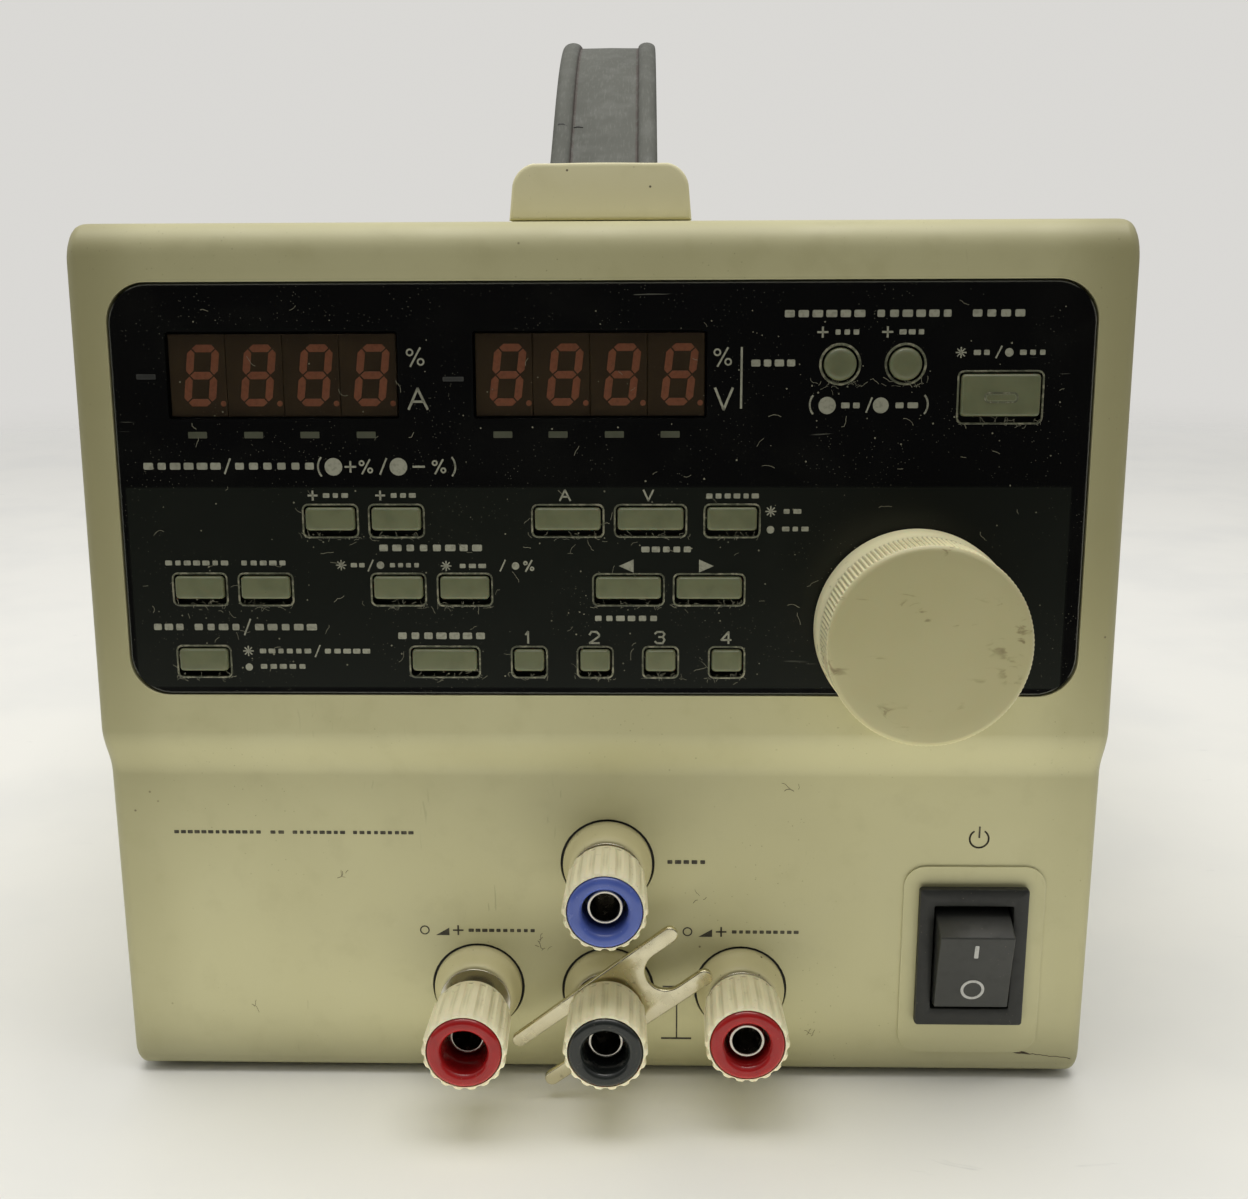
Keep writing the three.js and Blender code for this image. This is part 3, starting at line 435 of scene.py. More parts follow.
    def bump(self, height, depth, strength=1.0):
        """Adds relief: a height from 0 to 1 stands depth mm tall."""
        inputs = {"Distance": depth * MM, "Strength": strength, "Height": height}
        if self.normal:
            inputs["Normal"] = self.normal
        self.normal = add_node(self.tree, "ShaderNodeBump", inputs).outputs[0]

    def done(self):
        link = self.tree.links.new
        link(self.colour, self.shader.inputs["Base Color"])
        link(self.roughness, self.shader.inputs["Roughness"])
        if self.normal:
            link(self.normal, self.shader.inputs["Normal"])
        return self.material


def moulded(name, colour, shade, grime, roughness=0.5, grain=0.28, depth=0.012, dirt=1.0, wear=0.15,
            painted_side_shade=None):
    """Moulded or painted beige: mottling, fine texture, dirt specks and paler rubbed edges.

    Its last argument, if given, is a darker colour painted near its left and right sides, mostly higher up:
    painted shade where less light falls.
    """
    f = Finish(name, colour, roughness)
    if painted_side_shade:
        # Painted shade: darker towards the left and right sides, most of all higher up.
        sides = f.fade(f.math("ABSOLUTE", f.along(0)), 58, 69)
        upper = f.fade(f.along(2), 44, 78)
        share = f.math("ADD", f.math("MULTIPLY", upper, 0.6), 0.4)
        f.paint(f.both(sides, share), painted_side_shade, 0.8)
    f.paint(f.patches(38, 0.35, 0.7), shade, 0.35)
    f.paint(f.patches(4.5, 0.5, 0.75, 4), shade, 0.25)
    f.paint(f.speckle(3.2, 0.07, 30), grime, 0.75 * dirt)
    f.paint(f.speckle(1.1, 0.11, 17), grime, 0.5 * dirt)
    scuffs = f.both(f.patches(1.3, 0.66, 0.74, 4, (1, 1, 0.18), 2), f.patches(21, 0.5, 0.7, 2))
    f.paint(scuffs, grime, 0.28 * dirt)
    f.rough(f.patches(9, 0.4, 0.7), roughness - 0.1)
    if wear:
        f.paint(f.both(f.edge(), f.patches(2.2, 0.35, 0.6)), (0.72, 0.7, 0.56, 1), wear)
    f.bump(f.noise(grain, 2), depth, 0.6)
    return f.done()


BEIGE_SHADE = linear(166, 161, 120)
GRIME = linear(84, 74, 50)

# The frame's sides take painted shade, darker higher up.
frame_beige = moulded("frame_beige", linear(188, 184, 144), BEIGE_SHADE, GRIME,
                      painted_side_shade=linear(152, 147, 108))
cap_beige = moulded("handle_cap_beige", linear(230, 224, 184), linear(212, 205, 160), GRIME,
                    dirt=1.8, wear=0.5)
collar_beige = moulded("collar_beige", linear(198, 191, 150), linear(178, 171, 130), GRIME, dirt=2.2)
cover_paint = moulded("cover_paint", linear(182, 178, 140), BEIGE_SHADE, GRIME, 0.48, 0.45, 0.03)


# Half width, base and top of the fascia, and the paler field of keys on it as (low, high) corners.
FASCIA_HALF, FASCIA_BASE, FASCIA_TOP = 65.15, 58.7, 114.5
KEY_FIELD = ((-64.6, 59.3), (63.4, 87.7))


def gloss_black(name, cover=1.0):
    """Glossy tinted sheet with dust, scratches and a painted highlight along its outer edges. cover is how much it
    hides what lies behind.
    """
    f = Finish(name, linear(6, 6, 6), 0.13, Specular_IOR_Level=0.32, Alpha=cover)
    across, height = f.along(0), f.math("SUBTRACT", f.along(2), CASE_FLOOR / MM)
    soft = 0.4
    low, high = KEY_FIELD
    inside = f.both(
        f.both(f.fade(across, low[0], low[0] + soft), f.fade(across, high[0], high[0] - soft)),
        f.both(f.fade(height, low[1], low[1] + soft), f.fade(height, high[1], high[1] - soft)))
    f.paint(inside, linear(19, 22, 17))
    f.rough(inside, 0.3)
    haze = f.patches(14, 0.45, 0.8, 4, (1, 1, 1), 1)
    f.paint(haze, linear(34, 35, 30), 0.16)
    f.rough(haze, 0.3, 0.3)
    dust = f.both(f.fade(f.cells(0.55), 0.13, 0.05), f.patches(9, 0.42, 0.62))
    f.paint(dust, linear(140, 138, 120), 0.5)
    scratch = f.both(f.patches(0.5, 0.74, 0.77, 2, (0.05, 1, 1), 0.4), f.patches(11, 0.55, 0.65, 2))
    f.paint(scratch, linear(120, 120, 110), 0.4)
    f.rough(dust, 0.8)
    # Painted highlight: a pale line along the sheet's outer edges, where its chamfer would catch the light.
    inner, outer = 1.1, 0.6
    sides = f.fade(f.math("ABSOLUTE", across), FASCIA_HALF - inner, FASCIA_HALF - outer)
    top = f.fade(height, FASCIA_TOP - inner, FASCIA_TOP - outer)
    base = f.fade(height, FASCIA_BASE + inner, FASCIA_BASE + outer)
    rim = f.math("MAXIMUM", sides, f.math("MAXIMUM", top, base))
    f.paint(f.both(f.edge(0.3), rim), linear(150, 150, 140), 0.7)
    f.bump(f.noise(1.6, 2), 0.004, 0.4)
    return f.done()


fascia_black = gloss_black("gloss_black")
window_tint = gloss_black("window_tint", 0.1)


def key_plastic():
    """Grey green cap, with a painted highlight along its edges and painted shade where its sides run down into the
    hole.
    """
    f = Finish("key_plastic", linear(108, 112, 84), 0.34, Specular_IOR_Level=0.5,
               Subsurface_Weight=0.15, Subsurface_Scale=0.0006)
    f.paint(f.patches(3.1, 0.4, 0.7), linear(90, 94, 70), 0.5)
    # Painted highlight: a pale tint along the cap's sharp edges.
    f.paint(f.edge(0.3), linear(168, 172, 150), 0.55)
    f.paint(f.speckle(0.8, 0.13, 5), linear(60, 60, 46), 0.4)
    # Painted shade: near black deeper than the fascia's face, down in the hole.
    f.paint(f.fade(f.out_of(UPPER), -0.2, -1.3), linear(26, 23, 15), 0.95)
    f.rough(f.patches(1.2, 0.45, 0.7), 0.45)
    f.bump(f.noise(0.35, 2), 0.006, 0.5)
    return f.done()


def rim_plastic():
    """Clear moulded rim round a key, mottled by dust."""
    f = Finish("rim_plastic", linear(104, 106, 88), 0.25, Specular_IOR_Level=0.6)
    f.paint(f.patches(0.8, 0.48, 0.6, 4), linear(166, 162, 140), 0.6)
    f.paint(f.patches(2.4, 0.5, 0.62, 2), linear(48, 50, 42), 0.5)
    f.bump(f.noise(0.4, 3), 0.02, 0.6)
    return f.done()


def cream(name, colour, shade, crease_colour, roughness=0.45):
    """Cream plastic with grime between its ribs."""
    f = Finish(name, colour, roughness, Subsurface_Weight=0.1, Subsurface_Scale=0.0008)
    f.paint(f.patches(7, 0.4, 0.7), shade, 0.45)
    f.paint(f.both(f.hollow(0.5, 0.46), f.patches(2.5, 0.2, 0.5)), crease_colour, 0.45)
    f.paint(f.speckle(0.9, 0.13, 6), crease_colour, 0.55)
    f.paint(f.patches(1.1, 0.62, 0.76, 5), crease_colour, 0.3)
    f.bump(f.noise(0.3, 2), 0.008, 0.5)
    return f.done()


def knob_cream():
    """Cream plastic with brown smudges on its face, and a ribbed side painted paler as painted light, as if lit
    more than the face.
    """
    f = Finish("knob_cream", linear(184, 178, 137), 0.42, Subsurface_Weight=0.08, Subsurface_Scale=0.001)
    f.paint(f.patches(16, 0.35, 0.7), linear(178, 172, 129), 0.5)
    front = face_box("encoder_knob", UPPER)[1].z
    # Painted light: everything behind the face's edge is painted paler, as if the side were lit more.
    f.paint(f.fade(f.out_of(UPPER), front - 0.3, front - 0.9), linear(238, 232, 192), 0.9)
    smudge = f.both(f.patches(2.2, 0.58, 0.7, 4, (0.5, 1, 1.3), 1.5), f.patches(7, 0.52, 0.62, 2))
    f.paint(smudge, linear(112, 96, 62), 0.7)
    f.paint(f.hollow(0.499, 0.46), linear(128, 120, 84), 0.5)
    f.rough(f.patches(5, 0.4, 0.7), 0.34)
    f.bump(f.noise(0.4, 2), 0.006, 0.5)
    return f.done()


def tinted(name, colour, dark, roughness=0.28, wear=None):
    """Coloured moulded plastic with a soft gloss and dust in its hollows."""
    f = Finish(name, colour, roughness, Specular_IOR_Level=0.5)
    f.paint(f.patches(2.6, 0.4, 0.7), dark, 0.4)
    f.paint(f.speckle(0.7, 0.14, 4), linear(150, 140, 120), 0.35)
    f.rough(f.patches(1.4, 0.45, 0.7, 4), roughness + 0.15)
    if wear:
        f.paint(f.both(f.edge(0.3), f.patches(1.4, 0.4, 0.6)), wear, 0.5)
    f.bump(f.noise(0.3, 2), 0.006, 0.5)
    return f.done()


def metal(name, colour, dull, roughness, brushed=(1, 1, 1), stain_and_dark_reflection=linear(96, 82, 56), rim=0.0):
    """Plated or bare metal. rim darkens its edges with the stain colour as a painted reflection, as if they
    mirrored something dark.
    """
    f = Finish(name, colour, roughness, metallic=1.0)
    f.paint(f.patches(6, 0.4, 0.7, 4), dull, 0.5)
    f.paint(f.patches(1.3, 0.64, 0.78, 4), stain_and_dark_reflection, 0.4)
    if rim:
        # Painted reflection: edges darkened as if they mirrored something dark.
        f.paint(f.edge(0.3), stain_and_dark_reflection, rim)
    f.rough(f.patches(2.2, 0.35, 0.7, 4, brushed), roughness + 0.14)
    f.bump(f.noise(0.25, 3, brushed), 0.006, 0.5)
    return f.done()


def strap_rubber():
    """Weathered rubber, with a worn line beside each bead."""
    f = Finish("strap_rubber", linear(84, 86, 80), 0.72)
    f.paint(f.patches(9, 0.35, 0.7, 4, (1, 0.3, 1)), linear(70, 72, 66), 0.6)
    f.paint(f.patches(0.3, 0.5, 0.7, 3, (1, 0.15, 0.15)), linear(112, 114, 108), 0.3)
    side = f.math("ABSOLUTE", f.along(0))
    seam = f.both(f.fade(side, 4.55, 4.85), f.fade(side, 5.35, 5.05))
    f.paint(f.both(seam, f.patches(1.4, 0.25, 0.55)), linear(62, 48, 44), 0.75)
    f.paint(f.speckle(1.3, 0.07, 9), linear(180, 180, 174), 0.35)
    f.rough(f.patches(3, 0.45, 0.7), 0.6)
    f.bump(f.noise(0.5, 3, (1, 0.4, 1)), 0.03, 0.6)
    return f.done()


def ledge_brown():
    """The brown face of an LED module behind its window."""
    f = Finish("display_brown", linear(122, 100, 68), 0.3, Specular_IOR_Level=0.4)
    f.paint(f.patches(5, 0.4, 0.7), linear(104, 84, 58), 0.6)
    # Painted shade: near black where surfaces close in, round the digits and at the edges.
    f.paint(f.crease(0.4), linear(16, 12, 9), 0.8)
    f.paint(f.speckle(0.6, 0.14, 5), linear(150, 140, 124), 0.35)
    f.bump(f.noise(0.8, 2), 0.006, 0.4)
    return f.done()


def board_finish():
    """Solder mask below, dark parts above it."""
    f = Finish("board_green", linear(30, 84, 46), 0.4)
    f.paint(f.patches(3, 0.5, 0.52, 2), linear(22, 66, 36), 0.8)
    f.paint(f.speckle(1.6, 0.2, 8), linear(190, 190, 180), 0.8)
    lifted = f.fade(f.along(2), CASE_FLOOR / MM + 9.5, CASE_FLOOR / MM + 10)
    f.paint(lifted, linear(24, 26, 46), 0.9)
    f.bump(f.noise(0.6, 2), 0.03, 0.5)
    return f.done()


def ink(name, colour, faded):
    """Screen-printed ink, thin in places."""
    f = Finish(name, colour, 0.55)
    f.paint(f.patches(0.5, 0.45, 0.7), faded, 0.6)
    f.paint(f.patches(6, 0.5, 0.7, 2), faded, 0.4)
    f.bump(f.noise(0.2, 2), 0.003, 0.5)
    return f.done()


def segment_red():
    """An unlit LED segment."""
    f = Finish("segment_red", linear(136, 84, 58), 0.45, Subsurface_Weight=0.2, Subsurface_Scale=0.0004)
    f.paint(f.patches(0.5, 0.4, 0.7), linear(112, 68, 46), 0.6)
    f.bump(f.noise(0.3, 2), 0.004, 0.4)
    return f.done()


key_green = key_plastic()
rim_clear = rim_plastic()
post_cream = cream("post_cream", linear(216, 210, 180), linear(198, 191, 156), linear(120, 110, 78))
cream_knob = knob_cream()
ring_finish = {
    "red_left": tinted("ring_red_left", linear(144, 25, 26), linear(122, 19, 21), 0.12),
    "red_right": tinted("ring_red_right", linear(144, 25, 26), linear(122, 19, 21), 0.12),
    "black": tinted("ring_black", linear(34, 37, 36), linear(25, 28, 27), 0.14),
    "blue": tinted("ring_blue", linear(72, 89, 158), linear(58, 73, 138), 0.13),
}
charcoal = tinted("switch_charcoal", linear(31, 32, 30), linear(24, 25, 24), 0.42, linear(76, 76, 72))
charcoal_face = tinted("rocker_charcoal", linear(46, 47, 45), linear(38, 39, 38), 0.4, linear(96, 96, 92))
nickel = metal("nickel", linear(222, 215, 186), linear(198, 189, 156), 0.16, rim=0.6)
nickel_tube = metal("nickel_tube", linear(214, 210, 200), linear(170, 164, 150), 0.16)
steel = metal("plated_steel", linear(176, 178, 178), linear(150, 152, 152), 0.36, (1, 0.2, 1))
aluminium = metal("sink_aluminium", linear(150, 153, 156), linear(120, 123, 126), 0.34, (1, 1, 0.15),
                  linear(90, 90, 88))
rubber_black = tinted("foot_rubber", linear(36, 36, 36), linear(26, 26, 26), 0.75)
strap_grey = strap_rubber()
display_brown = ledge_brown()
board_green = board_finish()
legend_grey = ink("legend_grey", linear(150, 150, 134), linear(112, 112, 98))
legend_dark = ink("legend_dark", linear(48, 44, 34), linear(92, 86, 64))
lint_grey = ink("lint_grey", linear(128, 126, 108), linear(84, 84, 70))
mark_white = ink("mark_white", linear(168, 168, 166), linear(140, 140, 138))
red_segments = segment_red()
lamp_green = tinted("lamp_lens", linear(78, 80, 66), linear(62, 64, 52), 0.3)
crack_brown = ink("crack_brown", linear(62, 50, 34), linear(110, 94, 66))


# ---- Frame, cover and other CAD pieces that keep their shape ----
FEET = [f"foot_{end}_{side}" for end in ("front", "rear") for side in ("left", "right")]
LED_MODULES = ["led_module_current", "led_module_voltage"]
BOARDS = ["control_board", "regulator_board"]

for material, nodes in (
    (frame_beige, ["front_bezel"]),
    (cover_paint, ["top_cover"]),
    (fascia_black, ["fascia_panel"]),
    (display_brown, LED_MODULES),
    (board_green, BOARDS),
    (steel, ["chassis_tray", "rear_panel", "transformer", "encoder_shaft"]),
    (aluminium, ["heat_sink"]),
    (charcoal, ["ac_inlet"]),
    (rubber_black, FEET),
):
    dress(nodes, material)
for width, segments, nodes in (
    (0.2, 2, ["front_bezel", "rear_panel", "chassis_tray"]),
    (0.25, 2, ["top_cover", "heat_sink"]),
    (0.18, 2, ["fascia_panel"]),
    (0.4, 3, ["ac_inlet"]),
    (0.4, 2, ["transformer"]),
    (0.3, 2, FEET),
    (0.1, 1, [*LED_MODULES, *BOARDS, "encoder_shaft"]),
):
    for node in nodes:
        soften(node, width, segments)


# ---- Keys ----
FASCIA_OUT = face_box("fascia_panel", UPPER)[1].z
KEY_PARTS = frame["record"]["behaviour"]["bodies"]
FLANGE = 0.5                    # how far a key's flange reaches past its hole
FLANGE_OUT = (-2.85, -2.05)
STEM = 2.6
KEY_SLOT = 1.05                 # how much lower a cap is than its hole
KEY_RISE = 0.3                  # how far a cap sits above its hole's middle


def key_cap(x, y, width, height, low, high):
    """Stem, flange and a crowned cap that sits high in its hole, leaving a slot under it."""
    stem = rounded_rect(x, y, STEM, STEM, 0.3)
    flange = rounded_rect(x, y, width + 2 * FLANGE, height + 2 * FLANGE, 0.55)

    def loop(shrink, out):
        return at(rounded_rect(x, y + KEY_RISE, width - 0.5 - shrink, height - KEY_SLOT - shrink, 0.5), out)
    return loft([
        at(stem, low), at(stem, FLANGE_OUT[0]), at(flange, FLANGE_OUT[0]), at(flange, FLANGE_OUT[1]),
        loop(0, FLANGE_OUT[1]), loop(0, high - 0.45), loop(0.06, high - 0.3), loop(0.2, high - 0.14),
        loop(0.42, high - 0.04), loop(0.8, high),
    ])


def round_key_cap(x, y, radius, low, high):
    edge = radius - 0.3
    profile = [
        (STEM / 2, low), (STEM / 2, FLANGE_OUT[0]), (radius + FLANGE, FLANGE_OUT[0]),
        (radius + FLANGE, FLANGE_OUT[1]), (edge, FLANGE_OUT[1]), (edge, high - 0.5),
        (edge - 0.12, high - 0.3), (edge - 0.35, high - 0.12), (edge - 0.7, high - 0.03), (edge - 1.2, high),
    ]
    return dome(profile, x, y, 40)


def rim_loops(outline_of, lift=0.13, width=0.28):
    """A thin rounded frame on the fascia round a hole. outline_of(grow) is the hole's outline, grown."""
    base = FASCIA_OUT - 0.02
    profile = [(1, 0), (0.9, 0.8), (0.55, 1), (0.2, 0.9), (0, 0.3), (0, 0)]
    return loft([at(outline_of(width * grow), base + lift * rise) for grow, rise in profile], ring=True)


def add_keys():
    for body, nodes in KEY_PARTS.items():
        if not body.startswith("key_"):
            continue
        low, high = face_box(nodes[0], UPPER)
        x, y = centre(low, high)
        width, height = high.x - low.x - 2 * FLANGE, high.y - low.y - 2 * FLANGE
        if body in ("key_output_1", "key_output_2"):
            radius = width / 2
            solid = round_key_cap(x, y, radius, low.z, high.z)
            rim = rim_loops(lambda grow: circle(x, y, radius + grow, 40), width=0.34)
        else:
            solid = key_cap(x, y, width, height, low.z, high.z)
            rim = rim_loops(lambda grow: rounded_rect(
                x, y, width + 2 * grow, height + 2 * grow, 0.6 + grow))
        piece(body + "_cap", solid, UPPER, key_green, body, nodes, "key_green")
        piece(body + "_rim", rim, UPPER, rim_clear, slot="fascia_black")
    low, high = face_box("key_output_main", UPPER)
    x, y = centre(low, high)
    lamp = slab(rounded_rect(x, y, 4.0, 0.95, 0.4), high.z - 0.2, high.z + 0.02, 0.05)
    piece("main_lamp_lens", lamp, UPPER, key_green, "key_output_main", slot="key_green")
    rim = [(4.5, 1.45, 0.6, -0.1), (4.45, 1.4, 0.6, 0.05), (4.15, 1.1, 0.5, 0.05), (4.1, 1.05, 0.5, -0.1)]
    edge = loft([at(rounded_rect(x, y, w, h, r), high.z + rise) for w, h, r, rise in rim], ring=True)
    piece("main_lamp_rim", edge, UPPER, rim_clear, "key_output_main", slot="key_green")


add_keys()


# ---- Encoder knob ----
KNOB_RIBS = 130


def add_knob():
    low, high = face_box("encoder_knob", UPPER)
    x, y = centre(low, high)
    radius, back, front = (high.x - low.x) / 2, low.z, high.z
    rib_back, rib_front = back + 4.2, front - 0.6

    def ripple(angle, out, r):
        if r < radius - 1.2 or not rib_back <= out <= rib_front + 0.01:
            return 0
        ramp = min(1, (out - rib_back) / 1.2, (rib_front - out) / 0.25 + 0.3)
        return -0.22 * ramp * (0.5 + 0.5 * math.cos(KNOB_RIBS * angle))

    walls = [(3.3, front - 2.7), (3.3, back + 1.4), (5, back + 1.4), (5, front - 2),
             (radius - 2, front - 2), (radius - 2, back), (radius - 0.25, back), (radius, back + 0.25),
             (radius, back + 2.2)]
    flare = [(radius - 0.3 * math.sin(math.pi / 2 * i / 6) ** 2, back + 2.2 + 0.4 * i) for i in range(7)]
    ribbed = [(radius - 0.3 - 0.02 * i / 8, rib_back + (rib_front - rib_back) * i / 8) for i in range(9)]
    face = [(radius - 0.42, front - 0.5), (radius - 0.62, front - 0.22), (radius - 0.85, front - 0.07),
            (radius - 1.1, front - 0.01), (radius - 3, front), (4, front), (0.4, front)]
    solid = dome(walls + flare + ribbed + face, x, y, KNOB_RIBS * 4, ripple)
    piece("knob_ribbed", solid, UPPER, cream_knob, "knob", ["encoder_knob"], "knob_cream")


add_knob()


# ---- Rocker switch ----
ROCKER_TILT = math.radians(joint("power_rocker")["range_deg"][1] / 2)
ROCKER_MOUTH = (11.3, 16.1)
# Side view of the actuator about its pivot: out, up and the radius of each corner.
ROCKER_SIDE = [
    (6.8, 6.1, 0.25), (3.2, 7.3, 2), (-0.6, 7.45, 0.5), (-3.7, 3.1, 1), (-3.7, -3.1, 1),
    (-0.6, -7.45, 0.5), (3.2, -7.3, 2), (6.8, -6.1, 0.25), (6.65, -2.2, 1.5), (6.65, 2.2, 1.5),
]
ROCKER_FACE = 6.7               # how far the marks stand out from the pivot


def add_rocker_housing():
    low, high = face_box("rocker_housing", LOWER)
    x, y = centre(low, high)
    width, height = high.x - low.x, high.y - low.y

    def loop(w, h, radius, out):
        return at(rounded_rect(x, y, w, h, radius, 5), out)
    mouth, body = ROCKER_MOUTH, (13.2, 18.4)
    solid = loft([
        loop(*body, 0.5, low.z), loop(*body, 0.5, 0.6), loop(width, height, 0.5, 0.62),
        loop(width, height, 0.5, high.z - 0.3), loop(width - 0.12, height - 0.12, 0.45, high.z - 0.1),
        loop(width - 0.4, height - 0.4, 0.35, high.z), loop(mouth[0] + 0.4, mouth[1] + 0.4, 0.35, high.z),
        loop(mouth[0] + 0.1, mouth[1] + 0.1, 0.3, high.z - 0.1), loop(*mouth, 0.3, high.z - 0.3),
        loop(*mouth, 0.3, -9.5),
    ])
    piece("rocker_frame", solid, LOWER, charcoal, stands_for=["rocker_housing"], slot="switch_black")


def add_rocker():
    """The actuator's side profile, drawn as (out, up) about its pivot, swung across its width."""
    pivot = LOWER.inverted() @ Vector(joint("power_rocker")["pos_m"]) / MM
    half = ROCKER_MOUTH[0] / 2 - 0.35
    turn = Matrix.Rotation(ROCKER_TILT, 4, "X")
    place = LOWER @ Matrix.Translation(pivot * MM) @ turn
    across = place @ face_matrix((0, 0, 0), Z_AXIS, Y_AXIS, -X_AXIS)
    moulding = slab(softened(ROCKER_SIDE, 4), -half, half, 0.2, 3)
    piece("rocker_moulding", moulding, across, charcoal_face, "rocker", ["rocker_actuator"], "switch_black")
    base, top = ROCKER_FACE - 0.15, ROCKER_FACE + 0.05
    bar = slab(rounded_rect(0, 3.7, 0.6, 2.2, 0.12, 2), base, top, 0.02, 1)
    outer, inner = circle(0, -3, 1.7), circle(0, -3, 1.3)
    ring = loft([at(outer, base), at(outer, top), at(inner, top), at(inner, base)], ring=True)
    piece("rocker_marks", joined([bar, ring]), place, mark_white, "rocker")


add_rocker_housing()
add_rocker()


# ---- Binding posts and shorting link ----
CAP_RIBS = 18


def groove(angle, out, radius):
    """Shallow troughs between broad ribs on a post cap's side."""
    if radius < 5.42:
        return 0
    phase = (angle * CAP_RIBS / (2 * math.pi)) % 1
    t = min(1, max(0, (abs(phase - 0.5) * 2 - 0.26) / 0.4))
    return -0.3 * (1 - t * t * (3 - 2 * t))


def add_post(post):
    """Ribbed cap, coloured ring, collar, stud, and a dark ring in the groove round the collar as painted shade.
    Corners are (radius, out, rounding).
    """
    low, high = face_box(f"post_cap_{post}", LOWER)
    x, y = centre(low, high)
    base, tip = low.z, high.z
    bore, pocket, deep = 2.75, tip - 1.7, tip - 6

    wall = [(5.58 + 0.24 * i / 5, base + 1.3 + (tip - base - 1.75) * i / 5, 0) for i in range(6)]
    cap = softened([
        (bore, base, 0), (5.1, base, 0.25), (5.4, base + 1, 0.3), *wall, (5.6, tip - 0.05, 0.1),
        (5.2, tip - 0.05, 0), (5.2, pocket, 0), (4.4, pocket, 0), (4.4, deep, 0), (bore, deep, 0)], 3)
    piece(f"post_cap_ribbed_{post}", lathe(cap, x, y, CAP_RIBS * 10, groove), LOWER, post_cream,
          f"cap_{post}", [f"post_cap_{post}"], "post_cream")

    ring = softened([
        (3.05, deep + 0.3, 0.2), (4.2, deep + 0.3, 0.2), (4.2, pocket + 0.3, 0),
        (5.12, pocket + 0.3, 0), (5.12, tip + 0.4, 1.05), (3.15, tip + 0.4, 1.05)], 8)
    piece(f"post_ring_round_{post}", lathe(ring, x, y, 72), LOWER, ring_finish[post],
          f"ring_{post}", [f"post_ring_{post}"], "ring_red" if "red" in post else f"ring_{post}")

    collar = softened([
        (bore, -1.5, 0), (4.3, -1.5, 0.2), (4.3, -0.3, 0), (6.4, -0.3, 0.1), (6.4, 0.9, 0.3),
        (6.0, 1.7, 0.5), (5.6, 3.3, 0.6), (5.2, 4, 0.3), (bore, 4, 0)], 5)
    piece(f"post_collar_turned_{post}", lathe(collar, x, y, 72), LOWER, collar_beige,
          stands_for=[f"post_collar_{post}"], slot="post_cream")

    # A dark ring deep in the groove round the collar: painted shade, standing for the shadow in that recess.
    shade_ring = softened([(6.2, -0.55, 0), (6.78, -0.55, 0), (6.78, -0.3, 0.1), (6.2, -0.3, 0)], 3)
    piece(f"post_gasket_{post}", lathe(shade_ring, x, y, 72), LOWER, rubber_black, slot="foot_rubber")

    stud = softened([
        (2.02, -1, 0), (2.02, 14.1, 0.12), (2.45, 14.1, 0.15), (2.45, 4.6, 0), (5.1, 4.6, 0.1),
        (5.1, 4.3, 0.1), (2.45, 4.3, 0), (2.45, -2.3, 0), (5, -2.3, 0.2), (5, -4.9, 0.3),
        (1.6, -4.9, 0), (1.6, -10.3, 0)], 4, closed=False)
    piece(f"post_stud_turned_{post}", dome(stud, x, y, 64), LOWER, nickel_tube,
          stands_for=[f"post_stud_{post}"], slot="nickel")


LINK_TILT = math.radians(37)


def add_link():
    """A flat spade-ended plate: one fork holds the black post, the other hangs free."""
    x, y = centre(*face_box("post_stud_black", LOWER))
    low, high = face_box("shorting_link", LOWER)
    half, mouth, notch, right = 5.3, 2.95, 7.5, 15.4       # the free fork
    hold_half, hold, left = 4.85, 2.8, 14                   # the fork on the post
    prong, hold_prong = (half - mouth) / 2, (hold_half - hold) / 2
    outline = arc(right - prong, half - prong, prong, -90, 90, 8)
    outline += arc(-left + hold_prong, hold_half - hold_prong, hold_prong, 90, 270, 8)
    outline += arc(0, 0, hold, 90, -90, 16)
    outline += arc(-left + hold_prong, hold_prong - hold_half, hold_prong, 90, 270, 8)
    outline += arc(right - prong, prong - half, prong, -90, 90, 8)
    outline += arc(notch + mouth, 0, mouth, 270, 90, 16)
    turn = Matrix.Rotation(LINK_TILT, 4, "Z")
    place = LOWER @ Matrix.Translation(Vector((x, y, 0)) * MM) @ turn
    plate = slab(outline, low.z, high.z, 0.2, 3)
    piece("link_plate", plate, place, nickel, "link", ["shorting_link"], "nickel")


for post in POSTS:
    add_post(post)
add_link()


# ---- Strap handle ----
def strap_section():
    """Across the strap: two round beads beside a recessed web, flat below. Drawn as (across, up)."""
    right = arc(6.5, 0.35, 1.5, 0, 180, 10)
    right = [(a, 0.35 + (b - 0.35) * 0.95 / 1.5) for a, b in right]
    left = [(-a, b) for a, b in reversed(right)]
    under = [(-8, -0.5), (-7.8, -0.95), (-7.3, -1.25), (-4, -1.3)]
    under += [(-a, b) for a, b in reversed(under)]
    web = [(2.5, 0.38), (0, 0.42), (-2.5, 0.38)]
    return right + web + left + under


def strap_path(steps=60):
    """Points and upward normals along the strap's middle line, as (along, up), from front to back."""
    low, high = (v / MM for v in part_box("handle_strap"))
    thick = 2.6
    middle = (low.y + high.y) / 2
    start, crest = (low.y, low.z + thick / 2), high.z - thick / 2
    k = [Vector(knot) for knot in (start, (start[0] + 14, start[1]), (middle - 31, crest), (middle, crest))]

    def rise(t):
        u = 1 - t
        point = k[0] * u ** 3 + k[1] * 3 * u * u * t + k[2] * 3 * u * t * t + k[3] * t ** 3
        slope = (k[1] - k[0]) * u * u + (k[2] - k[1]) * 2 * u * t + (k[3] - k[2]) * t * t
        slope.normalize()
        return point, Vector((-slope.y, slope.x))
    front = [rise(i / steps) for i in range(steps + 1)]
    back = [(Vector((2 * middle - p.x, p.y)), Vector((-n.x, n.y))) for p, n in reversed(front[:-1])]
    return front + back


